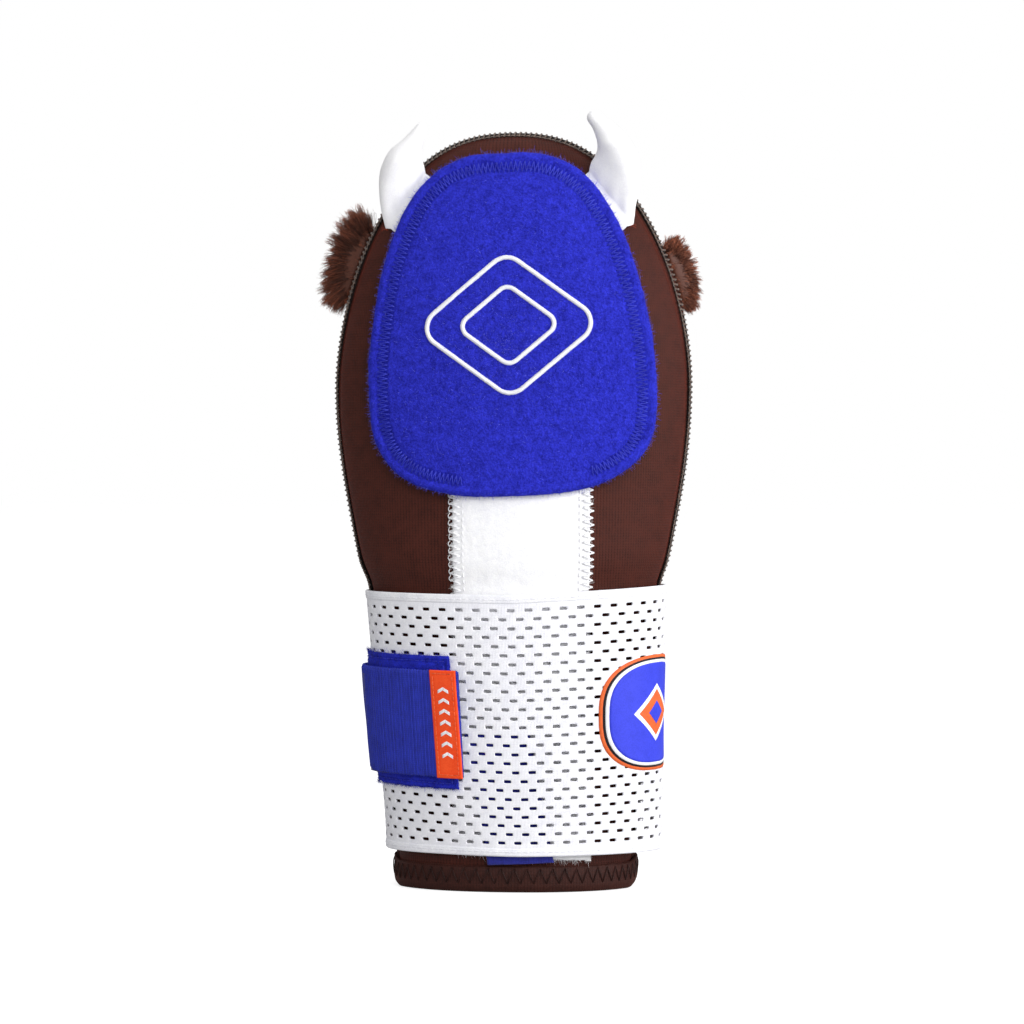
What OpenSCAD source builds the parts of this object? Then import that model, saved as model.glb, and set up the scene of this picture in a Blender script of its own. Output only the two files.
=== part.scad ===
// Sliding mitt: a padded neoprene mitt with plates inside, a mesh wrist band
// and a hook-and-loop strap. Millimetres. The cuff stands on z = 0, the
// fingertips point up +Z, and the decorated back of the hand faces -Y.

/* [Body] */
// Height from the cuff to the fingertips
mitt_h = 285; // [270:1:300]
// Half width at the cuff
cuff_half_w = 45; // [43:0.5:47]
// Half width at the knuckles
knuckle_half_w = 67.8; // [65:0.2:70]
// Height of the widest place
knuckle_z = 190; // [184:1:196]
// Half depth at the cuff
cuff_half_d = 25; // [23:0.5:27]
// Half depth at the palm
palm_half_d = 28; // [27:0.5:30]
// Radius of the rounded panel corners at the cuff
corner_r = 8; // [5:0.5:10]

/* [Layers] */
// Thickness of the neoprene panels
shell_t = 3; // [2.5:0.1:3.2]
// Thickness of the plastic plates
plate_t = 1.6; // [1.2:0.1:1.8]
// Thickness of the foam pads
foam_t = 4; // [3:0.1:4]
// Thickness of the hand liner
liner_t = 0.8; // [0.6:0.1:1]

/* [Patch] */
// Half width of the felt patch
patch_half_w = 52.4; // [50:0.1:56]
// Patch height above its widest place
patch_rise = 85.8; // [83:0.1:88]
// Patch height below its widest place
patch_drop = 41.3; // [38:0.1:44]
// How far the patch leans to the left, in degrees
patch_tilt = 2.3; // [0:0.1:4]
// Thickness of the felt
felt_t = 2.6; // [2:0.1:3]

/* [Band and strap] */
// Height of the band's lower edge
band_foot_z = 13; // [12:0.5:16]
// Width of the mesh band along the mitt
band_w = 100; // [94:1:102]
// Width of the closing strap
strap_w = 40; // [36:0.5:42]
// Width of the loop patch under the strap
loop_w = 50; // [46:0.5:52]
// Half width of the white loop strip on the back of the hand
strip_half_w = 27; // [24:0.5:29]

/* [Hidden] */

tip_gap = 0.05;       // the panels stop this far short of the very tip
u_step = 10;          // degrees between the grid lines round the mitt
gap = 0.4;            // clearance between layers
corner_reach = 0.35;  // share of the depth over which a cuff corner is rounded
lift_fade = 30;       // height over which the corner rounding dies away
band_top_z = band_foot_z + band_w;
strap_z = 62.5;       // height of the strap's centre line
patch_x = -0.1;
patch_z = 189.8;      // height of the patch's widest place
plate_z = [46, 256];
foam_z = [44, 250];
pad_u = 60;           // plates and foam reach this far round from the centre

// ---- shared curves ----
function lerp(a, b, t) = a + (b - a) * t;
function clamp01(t) = min(max(t, 0), 1);
function ease(t) = let (c = clamp01(t)) c * c * (3 - 2 * c);
function unit(v) = v / norm(v);
function dome(t, p, q) = pow(max(1 - pow(clamp01(t), p), 0), 1 / q);

function half_w(z) = z < knuckle_z
    ? lerp(cuff_half_w, knuckle_half_w, sin(90 * pow(max(z, 0) / knuckle_z, 2)))
    : knuckle_half_w * dome((z - knuckle_z) / (mitt_h - knuckle_z), 1.75, 2.4);
deep_z = 100;         // height where the mitt is deepest
function half_d(z) = z < deep_z
    ? lerp(cuff_half_d, palm_half_d, ease(z / deep_z))
    : palm_half_d * dome((z - deep_z) / (mitt_h - deep_z), 2.2, 1.9);
function slope_w(z) = (half_w(z + 0.01) - half_w(z - 0.01)) / 0.02;
function slope_d(z) = (half_d(z + 0.01) - half_d(z - 0.01)) / 0.02;

// The cuff's lower edge rises in a round corner beside each side seam.
function corner_lift(u) = let (c = abs(cos(u))) c >= corner_reach ? 0
    : corner_r * (1 - sqrt(1 - pow(1 - c / corner_reach, 2)));
function lifted(u, z) = z + corner_lift(u) * max(0, 1 - z / lift_fade);

// A point on the mitt's outside, d off the surface: u is 0 at the front, 90 at
// the right side seam, 180 on the palm and -90 at the left side seam.
function skin(u, flat_z, d) = let (z = lifted(u, flat_z), a = half_w(z), b = half_d(z),
    s = sin(u), c = cos(u),
    n = unit([b * s, -a * c, -(a * slope_d(z) * c * c + b * slope_w(z) * s * s)]))
    [a * s, -b * c, z] + d * n;

// The same for the band, which stands off the mitt and leans right at its foot.
band_half_w = [52.5, 58.4];
band_slack = [4.5, 2.2];
band_shift = [3, 0];
function band_skin(u, z, d) = let (t = (z - band_foot_z) / band_w,
    a = lerp(band_half_w[0], band_half_w[1], t),
    b = half_d(z) + lerp(band_slack[0], band_slack[1], t),
    n = unit([b * sin(u), -a * cos(u), 0]))
    [lerp(band_shift[0], band_shift[1], t) + a * sin(u), -b * cos(u), z] + d * n;

// The hand liner is a sock with a round end, snug at the cuff.
sock_top_z = 256;
sock_turn_z = 220;
function sock_ramp(z) = ease((z - 12) / 30);
function sock_close(z) = dome((z - sock_turn_z) / (sock_top_z - sock_turn_z), 2, 2);
function sock(u, flat_z, inset) = let (z = lifted(u, flat_z), k = sock_close(z))
    [(half_w(z) - lerp(shell_t + gap, 12.2, sock_ramp(z)) - inset) * sin(u) * k,
     -(half_d(z) - lerp(shell_t + gap, 11, sock_ramp(z)) - inset) * cos(u) * k, z];

// The patch's egg outline in its own plane, and that plane laid on the mitt.
function egg(pz) = patch_half_w * (pz > 0 ? dome(pz / patch_rise, 1.68, 2.97)
    : dome(-pz / patch_drop, 3, 2.8));
function patch_xz(px, pz) = [
    patch_x + px * cos(patch_tilt) - pz * sin(patch_tilt),
    patch_z + px * sin(patch_tilt) + pz * cos(patch_tilt)];
function on_patch(px, pz, d) = let (p = patch_xz(px, pz))
    skin(asin(p[0] / half_w(p[1])), p[1], d);

// ---- grids ----
levels = concat([for (z = [0:15:195]) z],
    [for (k = [1:12]) min(lerp(195, mitt_h, 1 - pow(1 - k / 12, 2)), mitt_h - tip_gap)]);
function rows(z0, z1) = concat([z0],
    [for (z = levels) if (z > z0 + 1.5 && z < z1 - 1.5 || z > z1 - 3 && z > z0 + 1.5
        && z < z1 - 0.2 && z > 280) z], [z1]);
function columns(u0, u1) = concat([u0],
    [for (k = [ceil(u0 / u_step + 0.2):floor(u1 / u_step - 0.2)]) k * u_step], [u1]);
function skin_grid(us, zs, d) = [for (u = us) [for (z = zs) skin(u, z, d)]];
function band_grid(us, zs, d) = [for (u = us) [for (z = zs) band_skin(u, z, d)]];
function ring_us() = [for (k = [0:360 / u_step - 1]) k * u_step];
function quad(a, b, c, d) = [[a, b, c], [a, c, d]];

// A solid between two grids of points, indexed [across][up].
module slab(outer, inner) {
    across = len(outer) - 1;
    up = len(outer[0]) - 1;
    n = len(outer) * len(outer[0]);
    function at(i, j) = i * (up + 1) + j;
    polyhedron(concat([for (r = outer) each r], [for (r = inner) each r]), concat(
        [for (i = [0:across - 1], j = [0:up - 1])
            each quad(at(i, j), at(i, j + 1), at(i + 1, j + 1), at(i + 1, j))],
        [for (i = [0:across - 1], j = [0:up - 1])
            each quad(n + at(i, j), n + at(i + 1, j), n + at(i + 1, j + 1), n + at(i, j + 1))],
        [for (i = [0:across - 1]) each quad(at(i, 0), at(i + 1, 0), n + at(i + 1, 0), n + at(i, 0))],
        [for (i = [0:across - 1])
            each quad(at(i + 1, up), at(i, up), n + at(i, up), n + at(i + 1, up))],
        [for (j = [0:up - 1]) each quad(at(0, j + 1), at(0, j), n + at(0, j), n + at(0, j + 1))],
        [for (j = [0:up - 1])
            each quad(at(across, j), at(across, j + 1), n + at(across, j + 1), n + at(across, j))]
    ));
}

// The same, closed all the way round.
module sleeve(outer, inner) {
    m = len(outer);
    up = len(outer[0]) - 1;
    n = m * (up + 1);
    function at(i, j) = (i % m) * (up + 1) + j;
    polyhedron(concat([for (r = outer) each r], [for (r = inner) each r]), concat(
        [for (i = [0:m - 1], j = [0:up - 1])
            each quad(at(i, j), at(i, j + 1), at(i + 1, j + 1), at(i + 1, j))],
        [for (i = [0:m - 1], j = [0:up - 1])
            each quad(n + at(i, j), n + at(i + 1, j), n + at(i + 1, j + 1), n + at(i, j + 1))],
        [for (i = [0:m - 1]) each quad(at(i, 0), at(i + 1, 0), n + at(i + 1, 0), n + at(i, 0))],
        [for (i = [0:m - 1])
            each quad(at(i + 1, up), at(i, up), n + at(i, up), n + at(i + 1, up))]
    ));
}

function middle(ring) = [for (k = [0:2]) [for (p = ring) p[k]] * [for (p = ring) 1] / len(ring)];

// A solid through closed rings of points, capped at both ends.
module loft(rings) {
    m = len(rings[0]);
    last = len(rings) - 1;
    n = m * (last + 1);
    function at(j, i) = j * m + i % m;
    polyhedron(concat([for (r = rings) each r], [middle(rings[0]), middle(rings[last])]), concat(
        [for (j = [0:last - 1], i = [0:m - 1])
            each quad(at(j, i), at(j + 1, i), at(j + 1, i + 1), at(j, i + 1))],
        [for (i = [0:m - 1]) [n, at(0, i), at(0, i + 1)]],
        [for (i = [0:m - 1]) [n + 1, at(last, i + 1), at(last, i)]]
    ));
}

// A thin-walled cup: outer and inner rings from its open mouth to its closed end.
module cup(outer, inner) {
    m = len(outer[0]);
    last = len(outer) - 1;
    n = m * (last + 1);
    function at(j, i) = j * m + i % m;
    polyhedron(concat([for (r = outer) each r], [for (r = inner) each r],
        [middle(outer[last]), middle(inner[last])]), concat(
        [for (j = [0:last - 1], i = [0:m - 1])
            each quad(at(j, i), at(j + 1, i), at(j + 1, i + 1), at(j, i + 1))],
        [for (j = [0:last - 1], i = [0:m - 1])
            each quad(n + at(j, i), n + at(j, i + 1), n + at(j + 1, i + 1), n + at(j + 1, i))],
        [for (i = [0:m - 1]) [2 * n, at(last, i + 1), at(last, i)]],
        [for (i = [0:m - 1]) [2 * n + 1, n + at(last, i), n + at(last, i + 1)]],
        [for (i = [0:m - 1]) each quad(at(0, i), at(0, i + 1), n + at(0, i + 1), n + at(0, i))]
    ));
}

// A flat thread line on the patch, between two offsets, through points in its plane.
module patch_ribbon(path, width, d0, d1) {
    last = len(path) - 1;
    function side(k) = let (t = unit(path[min(k + 1, last)] - path[max(k - 1, 0)]))
        [-t[1], t[0]] * width / 2;
    function line(sign, d) = [for (k = [0:last])
        let (p = path[k] + sign * side(k)) on_patch(p[0], p[1], d)];
    slab([line(1, d1), line(-1, d1)], [line(1, d0), line(-1, d0)]);
}

// ---- neoprene, bindings and seams ----
module shell_panel(u0, u1) {
    us = columns(u0, u1);
    zs = rows(1.6, mitt_h - tip_gap);
    color("saddlebrown") slab(skin_grid(us, zs, 0), skin_grid(us, zs, -shell_t));
}
seam_gap_u = 0.4;     // half the seam gap between the panels, in degrees
module back_shell() shell_panel(-90 + seam_gap_u, 90 - seam_gap_u);
module palm_shell() shell_panel(90 + seam_gap_u, 270 - seam_gap_u);

// A flat thread bead over the seam, up one side, over the tip and down the other.
module edge_seam() {
    side = [for (z = rows(10, mitt_h - tip_gap)) z];
    up = len(side) - 1;
    half = 1.5;
    function bead(y, d) = concat([for (z = side) skin(-90, z, d) + [0, y, 0]],
        [for (k = [0:up]) skin(90, side[up - k], d) + [0, y, 0]]);
    color("black") slab([bead(-half, 0.95), bead(half, 0.95)], [bead(-half, 0.15), bead(half, 0.15)]);
}

// Each binding folds over the edge: down the outside, under, and up the inside.
binding_h = 9;
fold = 1;
function fold_line(u, front, back, foot) = [
    skin(u, binding_h, front), skin(u, binding_h / 2, front), skin(u, foot, front),
    skin(u, foot, back), skin(u, binding_h / 2, back), skin(u, binding_h, back)];
module cuff_binding(u0, u1) {
    front = 0.3;
    back = -shell_t - liner_t - 2 * gap;
    us = columns(u0, u1);
    color("saddlebrown") slab([for (u = us) fold_line(u, front, back, fold + 0.2)],
        [for (u = us) fold_line(u, front + fold, back - fold, 0)]);
}
module back_cuff_binding() cuff_binding(-87, 87);
module palm_cuff_binding() cuff_binding(93, 267);
module cuff_stitching() {
    color("black") for (turn = [0, 180]) {
        us = columns(turn - 84, turn + 84);
        slab(skin_grid(us, [4.4, 7.4], 1.7), skin_grid(us, [4.4, 7.4], 1.4));
    }
}

// ---- protection and lining ----
module plate(turn) {
    us = columns(turn - pad_u, turn + pad_u);
    zs = rows(plate_z[0], plate_z[1]);
    outside = -shell_t - gap;
    color("whitesmoke")
        slab(skin_grid(us, zs, outside), skin_grid(us, zs, outside - plate_t));
}
module back_plate() plate(0);
module palm_plate() plate(180);

module foam(turn) {
    us = columns(turn - pad_u, turn + pad_u);
    zs = rows(foam_z[0], foam_z[1]);
    outside = -shell_t - plate_t - 2 * gap;
    color("dimgray")
        slab(skin_grid(us, zs, outside), skin_grid(us, zs, outside - foam_t));
}
module back_foam() foam(0);
module palm_foam() foam(180);

module tip_bumper() {
    zs = rows(266, mitt_h - 0.6);
    color("dimgray") loft([for (z = zs) [for (u = ring_us()) skin(-u, z, -shell_t - gap)]]);
}

module hand_liner() {
    zs = rows(1.6, sock_top_z - 0.3);
    outer = [for (z = zs) [for (u = ring_us()) sock(-u, z, 0)]];
    inner = [for (z = zs) [for (u = ring_us())
        sock(-u, z, liner_t) - [0, 0, z > sock_turn_z ? liner_t * (1 - sock_close(z)) : 0]]];
    color("black") cup(outer, inner);
}

// ---- loop strip and keeper on the back of the hand ----
strip_z = [10.6, 175];
function strip_u(x, z) = asin(x / half_w(z));
module loop_strip() {
    zs = rows(strip_z[0], strip_z[1]);
    function grid(d) = [for (i = [-4:4])
        [for (z = zs) skin(strip_u(strip_half_w * i / 4, z), z, d)]];
    color("white") slab(grid(1.5), grid(0.3));
}
module strip_stitching() {
    zs = rows(strip_z[0] + 1, 143);
    function line(x, d) = [for (z = zs) skin(strip_u(x, z), z, d)];
    color("white") for (side = [-1, 1]) {
        x = side * strip_half_w;
        slab([line(x - 2.6 * max(side, 0), 1.9), line(x + 2.6 * max(-side, 0), 1.9)],
            [line(x - 2.6 * max(side, 0), 1.6), line(x + 2.6 * max(-side, 0), 1.6)]);
    }
}
keeper_z = [8, 60];
keeper_half_w = 12;
module band_keeper() {
    zs = rows(keeper_z[0], keeper_z[1]);
    function slant(z) = lerp(2.5, -5, (z - keeper_z[0]) / (keeper_z[1] - keeper_z[0]));
    function grid(d) = [for (i = [-2:2])
        [for (z = zs) skin(strip_u(slant(z) + keeper_half_w * i / 2, z), z, d)]];
    color("mediumblue") slab(grid(3), grid(2));
}

// ---- felt patch ----
backing_d = [1.8, 2.5];
felt_d = [2.6, 2.6 + felt_t];
thread_d = [felt_d[1] + 0.25, felt_d[1] + 0.7];
patch_rows = concat([for (k = [0:7]) -patch_drop * (1 - pow(k / 8, 2)) + 0.05 * (k == 0 ? 1 : 0)],
    [for (k = [0:12]) patch_rise * sin(90 * k / 12) - 0.05 * (k == 12 ? 1 : 0)]);
module egg_slab(inset, d0, d1) {
    function grid(d) = [for (i = [-8:8]) [for (pz = patch_rows)
        let (k = 1 - inset / patch_half_w) on_patch(egg(pz) * k * i / 8, pz * k, d)]];
    slab(grid(d1), grid(d0));
}
module patch_backing() color("navy") egg_slab(3, backing_d[0], backing_d[1]);
module felt_patch() color("mediumblue") egg_slab(0, felt_d[0], felt_d[1]);

// The stitch line runs round the patch and is left open over the loop strip.
stitch_inset = 5;
stitch_open_x = 26;
module patch_stitching() {
    k = 1 - stitch_inset / patch_half_w;
    side = [for (pz = patch_rows) if (egg(pz) * k > stitch_open_x || pz > 0) [egg(pz), pz] * k];
    up = len(side) - 1;
    path = concat([for (j = [0:up]) [-side[j][0], side[j][1]]],
        [for (j = [1:up]) side[up - j]]);
    color("blue") patch_ribbon(path, 3.2, thread_d[0], thread_d[1]);
}

// Two nested diamonds with round corners, sewn as raised outlines.
motif_z = 22;
motif_half = [34, 27];
motif_thread_w = 2.2;
function diamond(half_x, half_z, r) = [for (turn = [0:90:270])
    let (a = atan2(half_z, half_x), tall = turn % 180 == 90,
        reach = tall ? half_z - r / cos(a) : half_x - r / sin(a),
        span = tall ? a : 90 - a)
    for (k = [-3:3]) reach * [cos(turn), sin(turn)]
        + r * [cos(turn + span * k / 3), sin(turn + span * k / 3)]];
// A closed path with extra points, so that no step is longer than that.
function divided(path, longest) = let (m = len(path)) [for (k = [0:m - 1])
    let (a = path[k], b = path[(k + 1) % m], steps = ceil(norm(b - a) / longest))
    for (j = [0:steps - 1]) lerp(a, b, j / steps)];
module diamond_line(share) {
    path = divided([for (p = diamond(motif_half[0] * share, motif_half[1] * share, 7 * share))
        p + [0, motif_z]], 5);
    m = len(path);
    function side(k) = let (t = unit(path[(k + 1) % m] - path[(k + m - 1) % m]))
        [t[1], -t[0]] * motif_thread_w / 2;
    function edge(k, sign, d) = let (p = path[k] + sign * side(k)) on_patch(p[0], p[1], d);
    sleeve([for (k = [0:m - 1]) [edge(k, 1, thread_d[0]), edge(k, 1, thread_d[1])]],
        [for (k = [0:m - 1]) [edge(k, -1, thread_d[0]), edge(k, -1, thread_d[1])]]);
}
module patch_embroidery() {
    color("white") for (share = [1, 0.56]) diamond_line(share);
}

// ---- horns: stuffed covers sewn along a line just outside the patch ----
// Each row: inner edge and outer edge in the patch's plane. The right horn is the larger.
horn_rows = [[
    [[30.2, 81.4], [46.2, 61.4]], [[30.4, 83.0], [46.9, 64.6]], [[30.7, 84.8], [47.5, 68.2]],
    [[31.2, 86.6], [47.9, 73.4]], [[31.2, 88.8], [47.7, 80.0]], [[30.9, 91.0], [46.4, 85.0]],
    [[30.1, 93.4], [42.2, 89.6]], [[29.4, 95.6], [37.3, 93.4]], [[29.2, 97.4], [32.3, 97.0]]
], [
    [[31.6, 79.4], [47.4, 58.6]], [[31.9, 81.0], [48.0, 61.6]], [[32.6, 82.8], [48.6, 65.4]],
    [[33.8, 84.6], [49.8, 70.4]], [[35.0, 87.0], [50.6, 77.6]], [[35.2, 89.8], [50.0, 84.8]],
    [[34.6, 92.6], [47.4, 90.6]], [[33.5, 95.6], [43.4, 95.2]], [[32.2, 98.9], [36.6, 100.6]]
]];
horn_thick = [0.8, 2.4, 4.2, 6.2, 6.2, 5.4, 4.2, 2.8, 1.2]; // half thickness of each row
horn_lean = [0, -0.6, -1.4, -2.2, -2.6, -2.8, -2.8, -2.7, -2.6];
horn_off = 3.4;       // the sewing line's height over the neoprene
horn_sides = 16;
function horn_edge(side, p) = let (q = patch_xz(side * p[0], p[1])) [q[0], 0, q[1]];
function horn_line(side, p) = let (q = patch_xz(side * p[0], p[1]))
    skin(asin(q[0] / half_w(q[1])), q[1], horn_off);
function horn_row(side, j) = horn_rows[side < 0 ? 0 : 1][j];
function horn_ring(side, j, shrink) = let (
    foot = horn_row(side, 0), row = horn_row(side, j),
    inner = horn_edge(side, row[0]), outer = horn_edge(side, row[1]),
    mid_y = (horn_line(side, foot[0])[1] + horn_line(side, foot[1])[1]) / 2 + horn_lean[j],
    wide = (outer - inner) / 2, k = max(1 - shrink / norm(wide), 0.15),
    centre = (inner + outer) / 2 + [0, mid_y, 0],
    thick = max(horn_thick[j] - shrink, 0.12))
    [for (i = [0:horn_sides - 1]) let (a = side * 360 * i / horn_sides)
        centre + wide * k * cos(a) + [0, thick * sin(a), 0]];
module horn_cover(side) {
    last = len(horn_thick) - 1;
    color("white") cup([for (j = [0:last]) horn_ring(side, j, 0)],
        [for (j = [0:last]) horn_ring(side, j, 0.6)
            - [for (i = [1:horn_sides]) [0, 0, j == last ? 0.6 : 0]]]);
}
module horn_stuffing(side) {
    last = len(horn_thick) - 1;
    color("ghostwhite") loft([for (j = [1:last - 1]) horn_ring(side, j, 0.9)]);
}
// The seam allowance of each horn lies flat under the patch.
module horn_tab(side) {
    function strip(p, q, d) = [for (k = [0:4]) let (m = lerp(p, q, k / 4),
        w = patch_xz(side * m[0], m[1])) skin(asin(w[0] / half_w(w[1])), w[1], d)];
    foot = horn_row(side, 0);
    near = [foot[0] - [3.4, 3.4], foot[1] - [5, 2.8]];
    far = [near[0] - [5.6, 4.8], near[1] - [6.6, 5]];
    a = strip(near[0], near[1], 1.3);
    b = strip(far[0], far[1], 1.3);
    c = strip(near[0], near[1], 0.3);
    e = strip(far[0], far[1], 0.3);
    color("white") if (side < 0) slab([a, b], [c, e]); else slab([b, a], [e, c]);
}

// ---- ears: fur pile over a cloth backing, sewn just behind the side seam ----
// Each row: distance out from the root, half length, half thickness, drop.
ear_rows = [[0, 14, 0.5, 0], [2.5, 15, 3, -0.5], [6, 16, 5.4, -1.6], [10, 16, 6.4, -3],
    [14, 14.5, 5.8, -4.6], [17, 11.5, 4.4, -6], [19, 7, 2.6, -7]];
ear_z = [236, 231];   // left and right
ear_reach = [0.8, 0.6]; // share of the full ear, left and right
ear_back_u = 8;       // degrees behind the side seam
ear_off = 2;          // the sewing line's height over the neoprene
ear_sides = 16;
function ear_frame(side) = let (z = ear_z[side < 0 ? 0 : 1], u = side * (90 + ear_back_u),
    root = skin(u, z, ear_off),
    along = unit(skin(u, z + 12, ear_off) - skin(u, z - 12, ear_off)),
    out = unit([side * 0.95, 0.3, 0]))
    [root, along, unit(out - (out * along) * along)];
function ear_ring(side, row, shrink) = let (f = ear_frame(side), across = unit(cross(f[2], f[1])),
    centre = f[0] + (f[2] * row[0] + [0, 0, row[3]]) * ear_reach[side < 0 ? 0 : 1], k = side)
    [for (i = [0:ear_sides - 1]) let (a = k * 360 * i / ear_sides)
        centre + f[1] * max(row[1] - shrink, 0.5) * cos(a)
            + k * across * max(row[2] - shrink, 0.15) * sin(a)];
module ear_fur(side) color("sienna")
    cup([for (row = ear_rows) ear_ring(side, row, 0)],
        [for (row = ear_rows) let (r = ear_ring(side, row, row[2] * 0.55))
            [for (p = r) p - ear_frame(side)[2] * (row[0] > 18 ? 1.5 : 0)]]);
module ear_backing(side) {
    last = len(ear_rows) - 3;
    color("brown") loft([for (j = [1:last])
        ear_ring(side, ear_rows[j], ear_rows[j][2] * 0.55 + 0.4)]);
}

// ---- mesh band ----
band_t = 0.8;
band_zs = rows(band_foot_z, band_top_z);
module mesh_band() color("white")
    sleeve(band_grid(ring_us(), band_zs, band_t), band_grid(ring_us(), band_zs, 0));
module band_edge_tapes() {
    color("white") for (z = [band_foot_z + 0.2, band_top_z - 3.2])
        sleeve(band_grid(ring_us(), [z, z + 3], band_t + 0.4),
            band_grid(ring_us(), [z, z + 3], band_t + 0.1));
}
module band_join_strip() {
    zs = rows(band_foot_z + 4, band_top_z - 4);
    us = columns(170, 178);
    color("white") slab(band_grid(us, zs, 1.6), band_grid(us, zs, 0.9));
}
module band_tacks() {
    color("white") for (u = [150, 200], z = [band_foot_z + 8, band_top_z - 12])
        slab(band_grid([u, u + 6], [z, z + 2.5], 1.2), band_grid([u, u + 6], [z, z + 2.5], 0.9));
}
badge_z = 66;
badge_half_h = 21.5;
module band_badge() {
    ts = [for (k = [-6:6]) sin(15 * k) * 0.995];
    function grid(d) = [for (i = [-6:6]) [for (t = ts)
        band_skin(72 + 37 * dome(abs(t), 2, 2) * i / 6, badge_z + badge_half_h * t, d)]];
    color("royalblue") slab(grid(1.15), grid(0.9));
}

// ---- closing strap ----
loop_u = [-101, -29];
loop_d = [1, 2.3];
flap_u = [-90, -23];
hook_d = [2.6, 3.4];
strap_d = [3.5, 4.9];
label_u = [-34.5, -23.6];
strap_rows = [strap_z - strap_w / 2, strap_z, strap_z + strap_w / 2];
loop_rows = [strap_z - loop_w / 2, strap_rows[0], strap_z, strap_rows[2], strap_z + loop_w / 2];
module loop_patch() {
    us = columns(loop_u[0], loop_u[1]);
    color("mediumblue") slab(band_grid(us, loop_rows, loop_d[1]), band_grid(us, loop_rows, loop_d[0]));
}
module loop_patch_stitching() {
    us = columns(loop_u[0] + 2, loop_u[1] - 2);
    color("blue") for (z = [loop_rows[0] + 1.2, loop_rows[4] - 2])
        slab(band_grid(us, [z, z + 0.8], 2.5), band_grid(us, [z, z + 0.8], 2.35));
}
function run_drop(u) = 2.5 * ease((-u - 103) / 27);
module strap_fixed_run() {
    us = columns(-150, -91.2);
    function grid(d) = [for (u = us) [for (z = strap_rows) band_skin(u, z, d - run_drop(u))]];
    color("mediumblue") slab(grid(strap_d[1]), grid(strap_d[0]));
}
module strap_anchor_stitching() {
    top = strap_d[1] - 2.5;
    us = columns(-148, -136);
    color("blue") for (z = [strap_rows[0] + 2, strap_rows[2] - 3])
        slab(band_grid(us, [z, z + 1], top + 0.4), band_grid(us, [z, z + 1], top + 0.1));
}
module strap_flap() {
    us = columns(flap_u[0], flap_u[1]);
    color("mediumblue") slab(band_grid(us, strap_rows, strap_d[1]), band_grid(us, strap_rows, strap_d[0]));
}
module strap_hook_pad() {
    us = columns(-80, -30);
    zs = [strap_rows[0] + 1.5, strap_z, strap_rows[2] - 1.5];
    color("navy") slab(band_grid(us, zs, hook_d[1]), band_grid(us, zs, hook_d[0]));
}
module strap_label() {
    us = [label_u[0], -30, label_u[1]];
    color("orangered") slab(band_grid(us, strap_rows, 5.6), band_grid(us, strap_rows, 5));
}
module label_stitching() {
    color("orange") for (u = [label_u[0] + 1.2, label_u[1] - 2])
        slab(band_grid([u, u + 0.8], [strap_rows[0] + 2, strap_z, strap_rows[2] - 2], 5.85),
            band_grid([u, u + 0.8], [strap_rows[0] + 2, strap_z, strap_rows[2] - 2], 5.7));
}

back_shell();
palm_shell();
edge_seam();
back_cuff_binding();
palm_cuff_binding();
cuff_stitching();
back_plate();
palm_plate();
back_foam();
palm_foam();
tip_bumper();
hand_liner();
loop_strip();
strip_stitching();
band_keeper();
patch_backing();
felt_patch();
patch_stitching();
patch_embroidery();
horn_tab(-1);  // horn_tab_left
horn_tab(1);  // horn_tab_right
mesh_band();
band_edge_tapes();
band_join_strip();
band_tacks();
band_badge();
loop_patch();
loop_patch_stitching();
strap_fixed_run();
strap_anchor_stitching();
strap_flap();
strap_hook_pad();
strap_label();
label_stitching();
horn_cover(-1);  // horn_left_cover
horn_stuffing(-1);  // horn_left_stuffing
horn_cover(1);  // horn_right_cover
horn_stuffing(1);  // horn_right_stuffing
ear_fur(-1);  // ear_left_fur
ear_backing(-1);  // ear_left_backing
ear_fur(1);  // ear_right_fur
ear_backing(1);  // ear_right_backing
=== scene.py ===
import math

import bmesh
import bpy
import numpy as np
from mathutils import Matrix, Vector, noise


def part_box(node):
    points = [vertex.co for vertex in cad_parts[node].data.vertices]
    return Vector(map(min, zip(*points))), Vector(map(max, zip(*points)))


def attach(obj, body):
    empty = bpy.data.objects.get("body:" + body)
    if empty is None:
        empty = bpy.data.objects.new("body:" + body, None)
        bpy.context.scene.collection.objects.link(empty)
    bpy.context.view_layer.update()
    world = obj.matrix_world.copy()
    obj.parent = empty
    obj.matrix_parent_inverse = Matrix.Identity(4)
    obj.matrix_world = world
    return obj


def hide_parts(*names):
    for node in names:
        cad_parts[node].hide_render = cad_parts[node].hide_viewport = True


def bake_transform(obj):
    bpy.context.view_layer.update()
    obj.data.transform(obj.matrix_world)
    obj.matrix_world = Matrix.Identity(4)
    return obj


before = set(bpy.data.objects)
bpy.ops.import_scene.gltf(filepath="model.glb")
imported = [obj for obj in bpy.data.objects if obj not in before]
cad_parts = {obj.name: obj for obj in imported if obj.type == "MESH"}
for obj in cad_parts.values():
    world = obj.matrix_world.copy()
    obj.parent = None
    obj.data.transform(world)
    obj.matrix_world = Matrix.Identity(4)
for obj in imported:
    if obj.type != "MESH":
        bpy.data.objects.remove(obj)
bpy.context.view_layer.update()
print("frame loaded")

mm = 0.001  # every length below is in millimetres unless it says metres


def spanOf(node):  # a node's lowest and highest corner in millimetres
    low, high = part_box(node)
    return np.array(low) / mm, np.array(high) / mm


shellHigh = spanOf("back_shell")[1]
bandLow, bandHigh = spanOf("mesh_band")

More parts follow.
